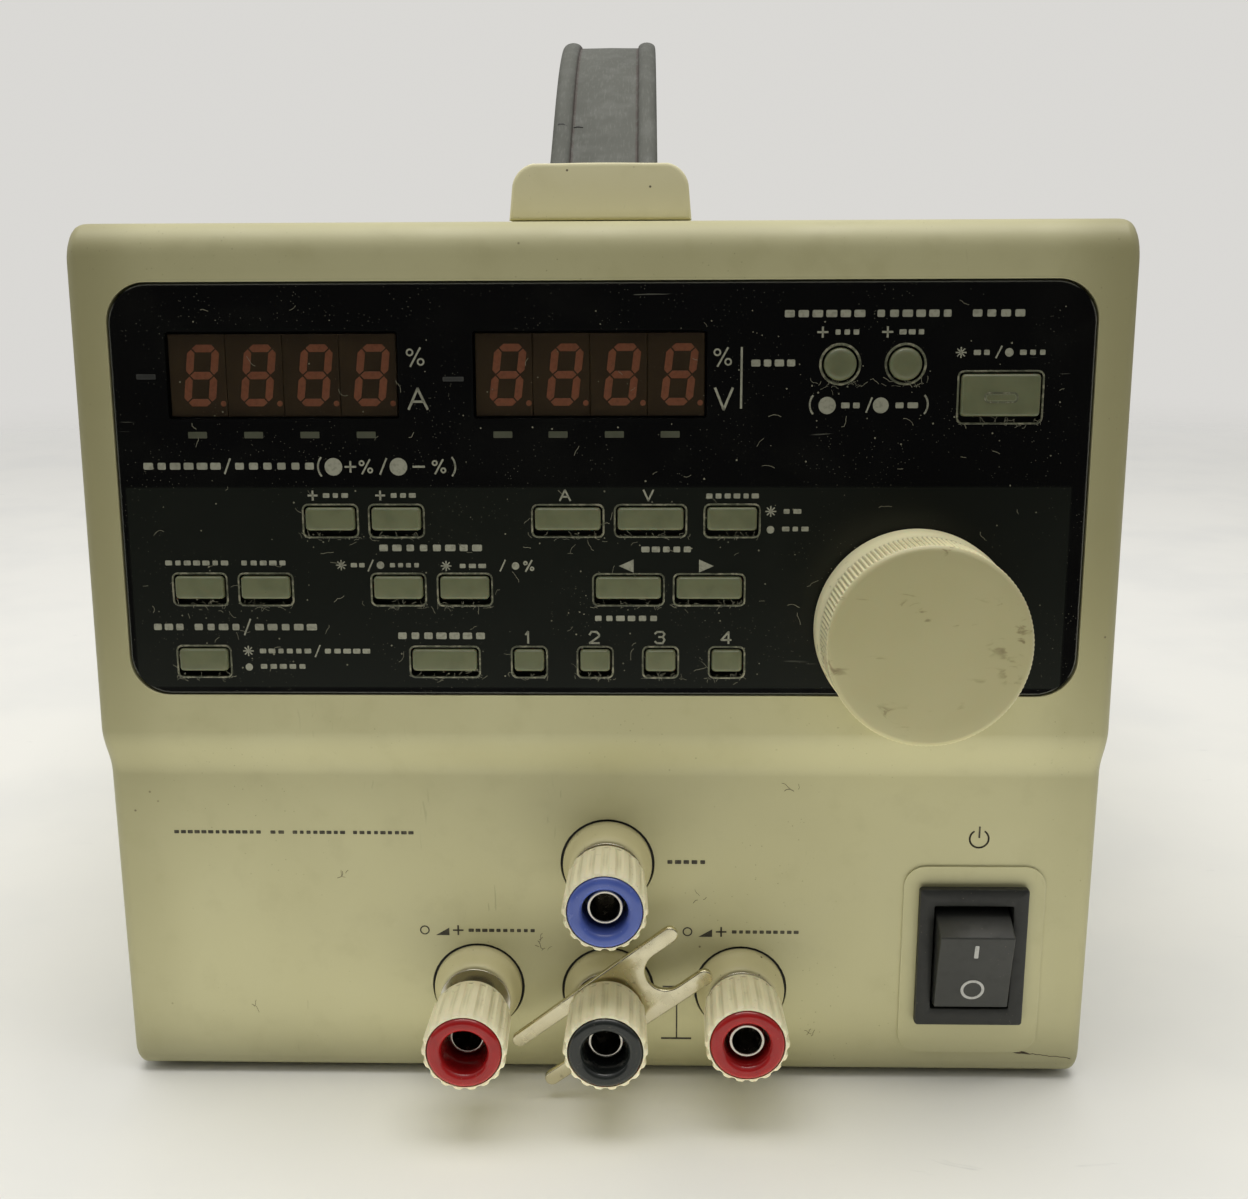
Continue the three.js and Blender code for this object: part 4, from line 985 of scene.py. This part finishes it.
# Two splits across the left bead and the web beside it, as (across, height on the section, step along).
SPLITS = (
    ((-7.7, 0.85, 24.2), (-7.1, 1.24, 24.5), (-6.4, 1.31, 24.4), (-5.8, 1.16, 24.1)),
    ((-4.9, 0.4, 24.9), (-4.2, 0.41, 25.1), (-3.4, 0.41, 24.9)),
)


def split_row(path, across, height, step, wide):
    """Four corners of a split's section at one step of the strap's path."""
    start = int(step)
    point = path[start][0].lerp(path[start + 1][0], step - start)
    normal = path[start][1]
    tangent = Vector((normal.y, -normal.x))
    row = []
    for lift, shift in ((-0.1, -wide), (0.03, -wide), (0.03, wide), (-0.1, wide)):
        spot = point + normal * (height + lift) + tangent * shift
        row.append((across, spot.x, spot.y))
    return row


def add_strap():
    path, loops = strap_path(), []
    for point, normal in path:
        loops.append([(a, point.x + normal.x * b, point.y + normal.y * b) for a, b in strap_section()])
    here = Matrix.Identity(4)
    piece("strap_beaded", loft(loops), here, strap_grey, stands_for=["handle_strap"], slot="handle_grey")
    splits = []
    for track in SPLITS:
        ends = (0, len(track) - 1)
        rows = [split_row(path, *spot, 0.05 if i in ends else 0.16) for i, spot in enumerate(track)]
        splits.append(loft(rows))
    piece("strap_splits", joined(splits), here, rubber_black, slot="handle_grey")


def lean_back(made, place, height, shift, reach):
    """Slopes a block's front face back by shift mm at its top, moving what is within reach of it."""
    inward = place.inverted()
    for vertex in made.data.vertices:
        x, up, out = (inward @ vertex.co) / MM
        share = max(0, 1 + out / reach)
        vertex.co = place @ (Vector((x, up, out - shift * share * up / height)) * MM)


def add_handle_cap(name, node, toward):
    """Crowned end cap, open to the strap. toward is 1 when the strap leaves to the back."""
    low, high = (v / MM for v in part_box(node))
    width, length, height = high.x - low.x, high.y - low.y, high.z - low.z
    radius = 3.6
    side = [(width / 2, 0), (width / 2 - 0.15, 1.6), (width / 2 - 0.35, height - radius)]
    corner = arc(width / 2 - 0.35 - radius, height - radius, radius, 0, 78, 8)
    crown = [(x, height - 0.3 * (x / (width / 2)) ** 2) for x in (6, 3, 0)]
    half = side + corner[1:] + crown
    outline = half + [(-x, z) for x, z in reversed(half[:-1])]
    front = low.y if toward > 0 else high.y
    place = face_matrix(Vector((0, front, low.z)) * MM, X_AXIS, Z_AXIS, Y_AXIS * -toward)
    body = slab(outline, -length, 0, 0.55, 4, edge_low=0.3)
    made = piece(name, body, place, cap_beige, stands_for=[node], slot="frame_plastic")
    lean_back(made, place, height, 1.9, 3)
    inner, under = 8.3, 2.5
    cuts = []
    for over, depth in ((5.7, -7), (20, -9.5)):         # the strap's channel, then its open mouth
        corners = [(-inner, under), (inner, under), (inner, over), (-inner, over)]
        cuts.append(slab(corners, -30, depth, 0.1, 1))
    carve(made, cuts, place)


add_strap()
add_handle_cap("handle_end_front", "handle_cap_front", 1)
add_handle_cap("handle_end_rear", "handle_cap_rear", -1)


# ---- Screws and inlet blades ----
INLET_BLADES = ((-7, -2), (0, 2), (7, -2))
REAR = face_matrix((0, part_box("rear_panel")[1].y, CASE_FLOOR), -X_AXIS, Z_AXIS, Y_AXIS)
SIDES = {
    "left": face_matrix((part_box("top_cover")[0].x, 0, CASE_FLOOR), -Y_AXIS, Z_AXIS, -X_AXIS),
    "right": face_matrix((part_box("top_cover")[1].x, 0, CASE_FLOOR), Y_AXIS, Z_AXIS, X_AXIS),
}


def add_screws(name, face, spots, out=0.0):
    """Pan-head screws with cross slots, standing on a face out mm in front of it."""
    profile = ((2.7, -0.1), (2.7, 0.5), (2.4, 1.1), (1.7, 1.5), (0.8, 1.68), (0.2, 1.7))
    head = [(radius, out + rise) for radius, rise in profile]
    made = piece(name, joined([dome(head, x, y, 32) for x, y in spots]), face, steel, slot="plated_steel")
    slots = []
    for x, y in spots:
        for w, h in ((0.35, 1.7), (1.7, 0.35)):
            corners = [(x - w, y - h), (x + w, y - h), (x + w, y + h), (x - w, y + h)]
            slots.append(slab(corners, out + 0.7, out + 3, 0.02, 1))
    carve(made, slots, face)


def add_rear_details():
    low, high = face_box("rear_panel", REAR)
    margin = 4.5
    columns, rows = (low.x + margin, high.x - margin), (8.0, high.y - margin)
    add_screws("rear_screws", REAR, [(x, y) for x in columns for y in rows])
    low, high = face_box("ac_inlet", REAR)
    x, y = centre(low, high)
    add_screws("inlet_screws", REAR, [(x - 20, y), (x + 20, y)], high.z)
    blades = []
    for dx, dy in INLET_BLADES:
        blades.append(slab(rounded_rect(x + dx, y + dy, 2.1, 4.1, 0.3, 2), -15.5, -0.9, 0.3))
    piece("inlet_blades", joined(blades), REAR, nickel, slot="nickel")
    low, high = face_box("top_cover", SIDES["right"])
    for side, face in SIDES.items():
        way = 1 if side == "right" else -1
        add_screws(f"side_screws_{side}", face, [(way * (low.x + 18), 6.5), (way * (high.x - 18), 6.5)])


add_rear_details()


# ---- Displays ----
DIGIT_SHIFT = 0.5               # how far right the digits sit in their module
PANE = (31.04, 11.54)


def segments(x, y, low, high, width=4.3, tall=8.2, stroke=1.0, gap=0.14, slant=0.12):
    """The seven bars of one digit and its decimal point."""
    a, b, t = width / 2 - stroke / 2, tall / 2 - stroke / 2, stroke / 2
    bars = []
    for cy in (-b, 0, b):
        bars.append([(-a + gap, cy), (-a + gap + t, cy - t), (a - gap - t, cy - t), (a - gap, cy),
                     (a - gap - t, cy + t), (-a + gap + t, cy + t)])
    for cx in (-a, a):
        for start, end in ((-b, 0), (0, b)):
            low_y, high_y = start + gap, end - gap
            bars.append([(cx, low_y), (cx + t, low_y + t), (cx + t, high_y - t), (cx, high_y),
                         (cx - t, high_y - t), (cx - t, low_y + t)])
    solids = []
    for bar in bars:
        leaned = [(x + p + q * slant, y + q) for p, q in bar]
        solids.append(slab(leaned, low, high, 0.02, 1))
    solids.append(slab(circle(x + 2.75, y - 3.75, 0.38, 16), low, high, 0.02, 1))
    return joined(solids)


def add_displays():
    for name in ("current", "voltage"):
        low, high = face_box(f"led_module_{name}", UPPER)
        x, y = centre(low, high)
        pitch = (high.x - low.x) / 4
        digits = []
        for i in range(4):
            spot = x + DIGIT_SHIFT + pitch * (i - 1.5)
            digits.append(segments(spot, y, high.z - 0.02, high.z + 0.04))
        piece(f"led_digits_{name}", joined(digits), UPPER, red_segments)
        outline = rounded_rect(x, y, *PANE, 0.3, 2)
        pane = slab(outline, FASCIA_OUT - 0.4, FASCIA_OUT - 0.02, 0.03, 1)
        piece(f"display_pane_{name}", pane, UPPER, window_tint, slot="display_filter")


add_displays()


# ---- Printed marks ----
INK = 0.02                      # how far print stands off its surface


def stroke(points, width, low, high):
    """A line of square-ended prisms through the points."""
    solids = []
    for (x0, y0), (x1, y1) in zip(points, points[1:]):
        along = Vector((x1 - x0, y1 - y0)).normalized() * width / 2
        side = Vector((-along.y, along.x))
        a, b = Vector((x0, y0)) - along * 0.6, Vector((x1, y1)) + along * 0.6
        solids.append(loft([at([tuple(a - side), tuple(b - side), tuple(b + side), tuple(a + side)], out)
                            for out in (low, high)]))
    return joined(solids)


class Print:
    """Collects flat marks on one face, then makes them a single piece."""

    def __init__(self, out):
        self.low, self.high = out - INK, out + INK
        self.solids = []
        self.chance = random.Random(5)

    def line(self, points, width=0.3):
        self.solids.append(stroke(points, width, self.low, self.high))

    def patch(self, outline):
        self.solids.append(loft([at(outline, self.low), at(outline, self.high)]))

    def word(self, x0, x1, y, weight=0.5):
        """A broken dash that stands where a word would be, one plain block to a letter."""
        count = max(2, round((x1 - x0) / (weight * 2.9)))
        pitch = (x1 - x0) / count
        for i in range(count):
            width = pitch * self.chance.uniform(0.55, 0.8)
            self.patch(rounded_rect(x0 + pitch * (i + 0.5), y, width, weight * 1.5, weight * 0.2, 1))

    def dot(self, x, y, radius=0.52):
        self.patch(circle(x, y, radius, 20))

    def bar(self, x, y, dx, dy, width):
        """A straight line centred on (x, y) that reaches (dx, dy) to either side."""
        self.line([(x - dx, y - dy), (x + dx, y + dy)], width)

    def star(self, x, y, radius=0.66):
        for i in range(4):
            a = math.pi * i / 4
            self.bar(x, y, radius * math.cos(a), radius * math.sin(a), 0.17)

    def plus(self, x, y, size=1.2):
        self.bar(x, y, size / 2, 0, 0.26)
        self.bar(x, y, 0, size / 2, 0.26)

    def bracket(self, x, y, height, way):
        radius = height * 0.8
        self.line([(x + way * (radius - px), py) for px, py in arc(0, y, radius, -38, 38, 8)], 0.24)

    def triangle(self, x, y, width, height, way):
        self.patch([(x + way * width / 2, y), (x - way * width / 2, y + way * height / 2),
                    (x - way * width / 2, y - way * height / 2)])

    def ring(self, x, y, radius, width):
        outer, inner = circle(x, y, radius), circle(x, y, radius - width)
        rows = ((outer, self.low), (outer, self.high), (inner, self.high), (inner, self.low))
        self.solids.append(loft([at(outline, z) for outline, z in rows], ring=True))

    def letter(self, x, y, shape, width, height, weight=0.32):
        """A unit sign or a digit, drawn with strokes in a box centred on (x, y)."""
        for path in SIGNS[shape]:
            self.line([(x + (a - 0.5) * width, y + (b - 0.5) * height) for a, b in path], weight)

    def percent(self, x, y, size):
        self.bar(x, y, size * 0.28, size * 0.5, 0.24)
        for way in (-1, 1):
            self.ring(x + way * size * 0.3, y - way * size * 0.26, size * 0.21, 0.22)

    def hair(self, x, y, chance, step=0.35):
        """A short bent fibre that starts at (x, y)."""
        heading, points = chance.uniform(0, math.pi), [(x, y)]
        for _ in range(chance.randint(2, 5)):
            heading += chance.gauss(0, 0.4)
            x, y = x + step * math.cos(heading), y + step * math.sin(heading)
            points.append((x, y))
        self.line(points, chance.uniform(0.04, 0.08))

    def finish(self, name, face, material):
        piece(name, joined(self.solids), face, material)


SIGNS = {
    "A": [[(0, 0), (0.5, 1), (1, 0)], [(0.2, 0.36), (0.8, 0.36)]],
    "V": [[(0, 1), (0.5, 0), (1, 1)]],
    "1": [[(0.15, 0.75), (0.6, 1), (0.6, 0)]],
    "2": [[(0, 0.75), (0.2, 1), (0.75, 1), (1, 0.75), (1, 0.6), (0, 0), (1, 0)]],
    "3": [[(0, 0.85), (0.2, 1), (0.8, 1), (1, 0.8), (0.8, 0.55), (0.4, 0.55)],
          [(0.8, 0.55), (1, 0.3), (0.8, 0), (0.2, 0), (0, 0.15)]],
    "4": [[(0.75, 0), (0.75, 1), (0, 0.3), (1, 0.3)]],
}


# Marks on the fascia. A word is (left, right, height, weight); the others start with their centre.
FASCIA_MARKS = (
    (Print.word, (
        (24.2, 35.2, 110.4, 0.62), (36.2, 46.6, 110.4, 0.62), (48.7, 56.1, 110.4, 0.62),
        (30.9, 34.5, 108.0, 0.45), (39.4, 43.0, 108.0, 0.45), (49.2, 51.7, 105.3, 0.45),
        (55.2, 59.0, 105.3, 0.45), (32.0, 34.9, 98.4, 0.5), (39.0, 42.5, 98.4, 0.5),
        (20.0, 26.2, 104.0, 0.6), (-62.0, -51.0, 90.4, 0.62), (-49.6, -38.2, 90.4, 0.62),
        (-37.7, -33.9, 86.4, 0.42), (-28.5, -24.7, 86.4, 0.42), (14.2, 21.6, 86.3, 0.45),
        (24.5, 27.4, 84.2, 0.42), (24.5, 28.4, 81.8, 0.42), (-30.4, -15.8, 79.2, 0.6),
        (5.5, 12.6, 79.0, 0.52), (-59.8, -50.8, 77.1, 0.45), (-49.4, -42.8, 77.1, 0.45),
        (-34.2, -32.0, 76.8, 0.4), (-28.9, -24.5, 76.8, 0.4), (-19.4, -15.4, 76.7, 0.4),
        (-1.0, 8.1, 69.4, 0.5), (-62.0, -57.4, 68.1, 0.6), (-56.4, -49.5, 68.1, 0.6),
        (-48.0, -38.9, 68.1, 0.6), (-47.4, -39.9, 64.7, 0.45), (-38.4, -31.7, 64.7, 0.45),
        (-47.4, -40.7, 62.5, 0.45), (-28.2, -15.6, 66.9, 0.62))),
    (Print.star, (
        (47.7, 105.3), (23.1, 84.2, 0.68), (-35.4, 76.8), (-21.0, 76.7), (-48.8, 64.7, 0.68))),
    (Print.dot, (
        (54.0, 105.3, 0.56), (30.3, 98.4, 1.15), (37.4, 98.4, 1.05), (-35.9, 90.3, 1.2),
        (-27.1, 90.3, 1.2), (23.1, 81.7), (-30.0, 76.8), (-11.5, 76.7), (-48.8, 62.4))),
    (Print.plus, (
        (29.5, 108.0, 1.3), (38.0, 108.0, 1.3), (-33.6, 90.3, 1.4), (-38.9, 86.4), (-29.7, 86.4))),
    (Print.percent, (
        (-24.4, 104.9, 2.4), (16.4, 104.8, 2.4), (-31.5, 90.3, 1.9), (-21.6, 90.3, 1.9),
        (-9.7, 76.7, 1.5))),
    (Print.bar, (
        (52.65, 105.35, 0.35, 0.75, 0.2), (35.85, 98.45, 0.35, 0.95, 0.22), (18.9, 102.05, 0, 3.95, 0.28),
        (-50.3, 90.4, 0.4, 1.0, 0.24), (-29.15, 90.35, 0.45, 1.05, 0.24), (-24.35, 90.3, 0.75, 0, 0.28),
        (-31.35, 76.75, 0.35, 0.75, 0.2), (-13.25, 76.75, 0.35, 0.75, 0.2),
        (-48.75, 68.1, 0.45, 1.1, 0.22), (-39.15, 64.7, 0.35, 0.8, 0.2))),
    (Print.bracket, (
        (28.0, 98.5, 2.4, 1), (43.6, 98.5, 2.4, -1), (-38.0, 90.3, 2.5, 1), (-19.4, 90.3, 2.5, -1))),
    (Print.triangle, ((3.6, 76.7, 2.0, 1.8, -1), (14.5, 76.7, 2.0, 1.8, 1))),
    (Print.letter, (
        (-24.2, 99.4, "A", 2.5, 2.7), (16.6, 99.3, "V", 2.3, 2.8), (-4.65, 86.4, "A", 1.4, 1.4, 0.24),
        (6.6, 86.4, "V", 1.3, 1.4, 0.24), (-10.0, 66.7, "1", 0.7, 1.6, 0.26),
        (-0.8, 66.7, "2", 1.3, 1.6, 0.26), (8.2, 66.7, "3", 1.3, 1.6, 0.26),
        (17.3, 66.7, "4", 1.3, 1.6, 0.26))),
)
LAMPS = (-54.1, -46.5, -38.9, -31.3, -12.9, -5.5, 2.05, 9.5)


def print_upper():
    ink_on = Print(FASCIA_OUT)
    for draw, places in FASCIA_MARKS:
        for place in places:
            draw(ink_on, *place)
    ink_on.finish("fascia_legends", UPPER, legend_grey)

    bars = Print(FASCIA_OUT)
    for x in LAMPS:
        bars.patch(rounded_rect(x, 94.6, 2.55, 0.87, 0.1, 2))
    bars.finish("status_lamps", UPPER, lamp_green)
    signs = Print(FASCIA_OUT)
    signs.patch(rounded_rect(-60.6, 102.4, 2.6, 0.7, 0.1, 2))
    signs.patch(rounded_rect(-19.4, 102.0, 2.8, 0.6, 0.1, 2))
    signs.finish("minus_signs", UPPER, charcoal_face)


def print_lower():
    ink_on = Print(0)
    for x0, x1 in ((-62.0, -49.1), (-48.1, -45.7), (-44.8, -36.9), (-36.1, -27.0)):
        ink_on.word(x0, x1, 37.0, 0.34)
    # power sign over the switch
    ink_on.line(arc(53.9, 36.5, 1.35, 125, 415, 24), 0.26)
    ink_on.bar(53.9, 37.5, 0, 0.8, 0.26)
    ink_on.word(9.2, 15.1, 32.7, 0.4)
    for x in (-26.0, 12.4):
        ink_on.ring(x, 21.8, 0.72, 0.2)
        ink_on.patch([(x + 1.6, 21.0), (x + 3.6, 21.0), (x + 3.6, 22.2)])
        ink_on.plus(x + 4.9, 21.8, 1.4)
        ink_on.word(x + 6.3, x + 16.3, 21.8, 0.34)
    # earth sign beside the black post
    ink_on.bar(10.9, 13.0, 2, 0, 0.26)
    ink_on.bar(10.9, 8.85, 0, 4.15, 0.22)
    ink_on.bar(10.85, 4.6, 2.15, 0, 0.3)
    ink_on.finish("panel_legends", LOWER, legend_dark)


def scatter_lint(hairs=150, specks=300, fluff=16):
    """Short hairs and specks of dust lying on the fascia, with fluff caught under each key's rim."""
    film = Print(FASCIA_OUT)
    chance = random.Random(11)
    keys = []
    for body, nodes in KEY_PARTS.items():
        if not body.startswith("key_"):
            continue
        low, high = face_box(nodes[0], UPPER)
        keys.append(centre(low, high))
        for _ in range(fluff):
            x, y = chance.uniform(low.x, high.x), low.y + FLANGE - 0.3 + chance.gauss(0, 0.2)
            film.hair(x, y, chance, 0.22)
    low, high = face_box("fascia_panel", UPPER)
    for i in range(hairs + specks):
        if chance.random() < 0.55:
            near = chance.choice(keys)
            x, y = near[0] + chance.gauss(0, 4), near[1] - 1.5 + chance.gauss(0, 2)
        else:
            x, y = chance.uniform(low.x + 3, high.x - 3), chance.uniform(low.y + 3, high.y - 3)
        if not (low.x + 2 < x < high.x - 2 and low.y + 2 < y < high.y - 2):
            continue
        if i >= hairs:
            film.patch(circle(x, y, chance.uniform(0.05, 0.14), 6))
            continue
        film.hair(x, y, chance)
    film.finish("fascia_lint", UPPER, lint_grey)


def draw_crack():
    """Hairline crack across the frame's lower right corner, with a brown flake at its start."""
    crack = Print(0)
    chance = random.Random(3)
    points = [(58.6 + 0.5 * i, 3.0 - 0.055 * i + chance.uniform(-0.1, 0.1)) for i in range(22)]
    crack.line(points[:9], 0.13)
    crack.line(points[8:], 0.09)
    flake = [(60.2, 2.85), (61.1, 3.1), (62.4, 2.85), (63.2, 2.5), (62.2, 2.52), (61.2, 2.66)]
    crack.patch(flake)
    crack.finish("corner_crack", LOWER, crack_brown)


SCUFFS = ((-9.4, 19.6), (-8.7, 19.1), (27.0, 43.6), (-37.5, 30.2), (14.6, 27.2), (-52.5, 9.5), (30.4, 5.2))


def draw_scuffs():
    """A few brown rub marks on the lower panel."""
    marks = Print(0)
    chance = random.Random(8)
    for x, y in SCUFFS:
        for _ in range(3):
            marks.hair(x + chance.gauss(0, 0.5), y + chance.gauss(0, 0.3), chance, 0.3)
    marks.finish("panel_scuffs", LOWER, crack_brown)


print_upper()
print_lower()
scatter_lint()
draw_crack()
draw_scuffs()


# ---- Floor, light and camera ----
def sheet_white():
    """White table top that fades into the backdrop with distance."""
    f = Finish("table_white", linear(232, 232, 229), 0.55)
    f.paint(f.patches(60, 0.4, 0.7, 4), linear(222, 223, 222), 0.6)
    smear = f.both(f.patches(5, 0.66, 0.78, 4, (0.35, 1, 1), 1.5), f.patches(45, 0.5, 0.66, 2))
    f.paint(smear, linear(186, 188, 190), 0.5)
    f.bump(f.noise(9, 3), 0.05, 0.3)
    material = f.done()
    length = add_node(f.tree, "ShaderNodeVectorMath", {0: f.mm}, operation="LENGTH").outputs["Value"]
    gone = f.math("MAXIMUM", f.fade(length, 420, 1100), f.fade(f.along(1), -190, -330))
    clear = add_node(f.tree, "ShaderNodeBsdfTransparent").outputs[0]
    mix = add_node(f.tree, "ShaderNodeMixShader", {0: gone, 1: f.shader.outputs[0], 2: clear})
    f.tree.links.new(mix.outputs[0], f.tree.nodes["Material Output"].inputs["Surface"])
    return material


def add_floor():
    mesh = bpy.data.meshes.new("table_top")
    ring = circle(0, 0, 1300, 96)
    mesh.from_pydata([(x * MM, y * MM, -0.02 * MM) for x, y in ring], [], [tuple(range(len(ring)))])
    mesh.materials.append(sheet_white())
    linked("table_top", mesh)


def add_backdrop(seen=0.7, overhead=0.75, level=0.06):
    """A plain pale backdrop for the camera. The light it gives comes from above, least from the front."""
    world = bpy.data.worlds.new("studio")
    world.use_nodes = True
    bpy.context.scene.world = world
    tree = world.node_tree
    tree.nodes.clear()
    direction = add_node(tree, "ShaderNodeTexCoord").outputs["Generated"]
    split = add_node(tree, "ShaderNodeSeparateXYZ", {0: direction}).outputs
    height = add_node(tree, "ShaderNodeMath", {0: split["Y"], 1: 0.3, 2: split["Z"]},
                      operation="MULTIPLY_ADD").outputs[0]
    strength = add_node(tree, "ShaderNodeMapRange", {
        "Value": height, "From Min": 0.0, "From Max": 0.95, "To Min": level, "To Max": overhead},
        interpolation_type="SMOOTHSTEP").outputs[0]
    light = add_node(tree, "ShaderNodeBackground", {"Color": (1, 0.995, 0.98, 1), "Strength": strength})
    plain = add_node(tree, "ShaderNodeBackground", {"Color": (seen, seen * 0.985, seen * 0.95, 1)})
    camera_ray = add_node(tree, "ShaderNodeLightPath").outputs["Is Camera Ray"]
    mix = add_node(tree, "ShaderNodeMixShader", {0: camera_ray, 1: light.outputs[0], 2: plain.outputs[0]})
    add_node(tree, "ShaderNodeOutputWorld", {"Surface": mix.outputs[0]})


def add_lamp(name, spot, target, size, power, tint=(1, 0.98, 0.94), glossy=True):
    light = bpy.data.lights.new(name, "AREA")
    light.shape = "RECTANGLE"
    light.size, light.size_y = size
    light.energy = power
    light.color = tint
    lamp = linked(name, light)
    lamp.location = Vector(spot)
    lamp.visible_camera = False
    lamp.visible_glossy = glossy
    lamp.rotation_euler = (Vector(target) - Vector(spot)).to_track_quat("-Z", "Y").to_euler()


EYE = Vector((5.8, -278.7, 117.1))      # with its height above the underside of the case
PITCH, YAW, ROLL = (math.radians(a) for a in (12.63, -1.36, -0.26))


def add_camera():
    data = bpy.data.cameras.new("viewpoint")
    data.lens = 40.3
    data.sensor_width = 36
    data.shift_x, data.shift_y = 0.0112, -0.0196
    data.clip_start, data.clip_end = 0.01, 20
    camera = linked("viewpoint", data)
    forward = Vector((math.sin(YAW) * math.cos(PITCH), math.cos(YAW) * math.cos(PITCH), -math.sin(PITCH)))
    level = forward.cross(Z_AXIS).normalized()
    above = level.cross(forward)
    right = level * math.cos(ROLL) + above * math.sin(ROLL)
    up = above * math.cos(ROLL) - level * math.sin(ROLL)
    camera.matrix_world = face_matrix(EYE * MM + Z_AXIS * CASE_FLOOR, right, up, -forward)
    bpy.context.scene.camera = camera


add_floor()
add_backdrop()
add_lamp("overhead", (0.0, -0.08, 0.95), (0.0, -0.05, 0.05), (0.9, 0.6), 6.4, (1, 0.97, 0.9))
add_lamp("window", (-1.0, 0.02, 0.45), (0, 0, 0.06), (0.8, 0.6), 1.0, (1, 0.98, 0.94))
add_lamp("table_bounce", (0.02, -0.165, 0.003), (0.02, -0.165, 1), (0.2, 0.13), 0.1, (1, 0.98, 0.86),
         glossy=False)
add_camera()
bpy.context.scene.view_settings.view_transform = "Standard"
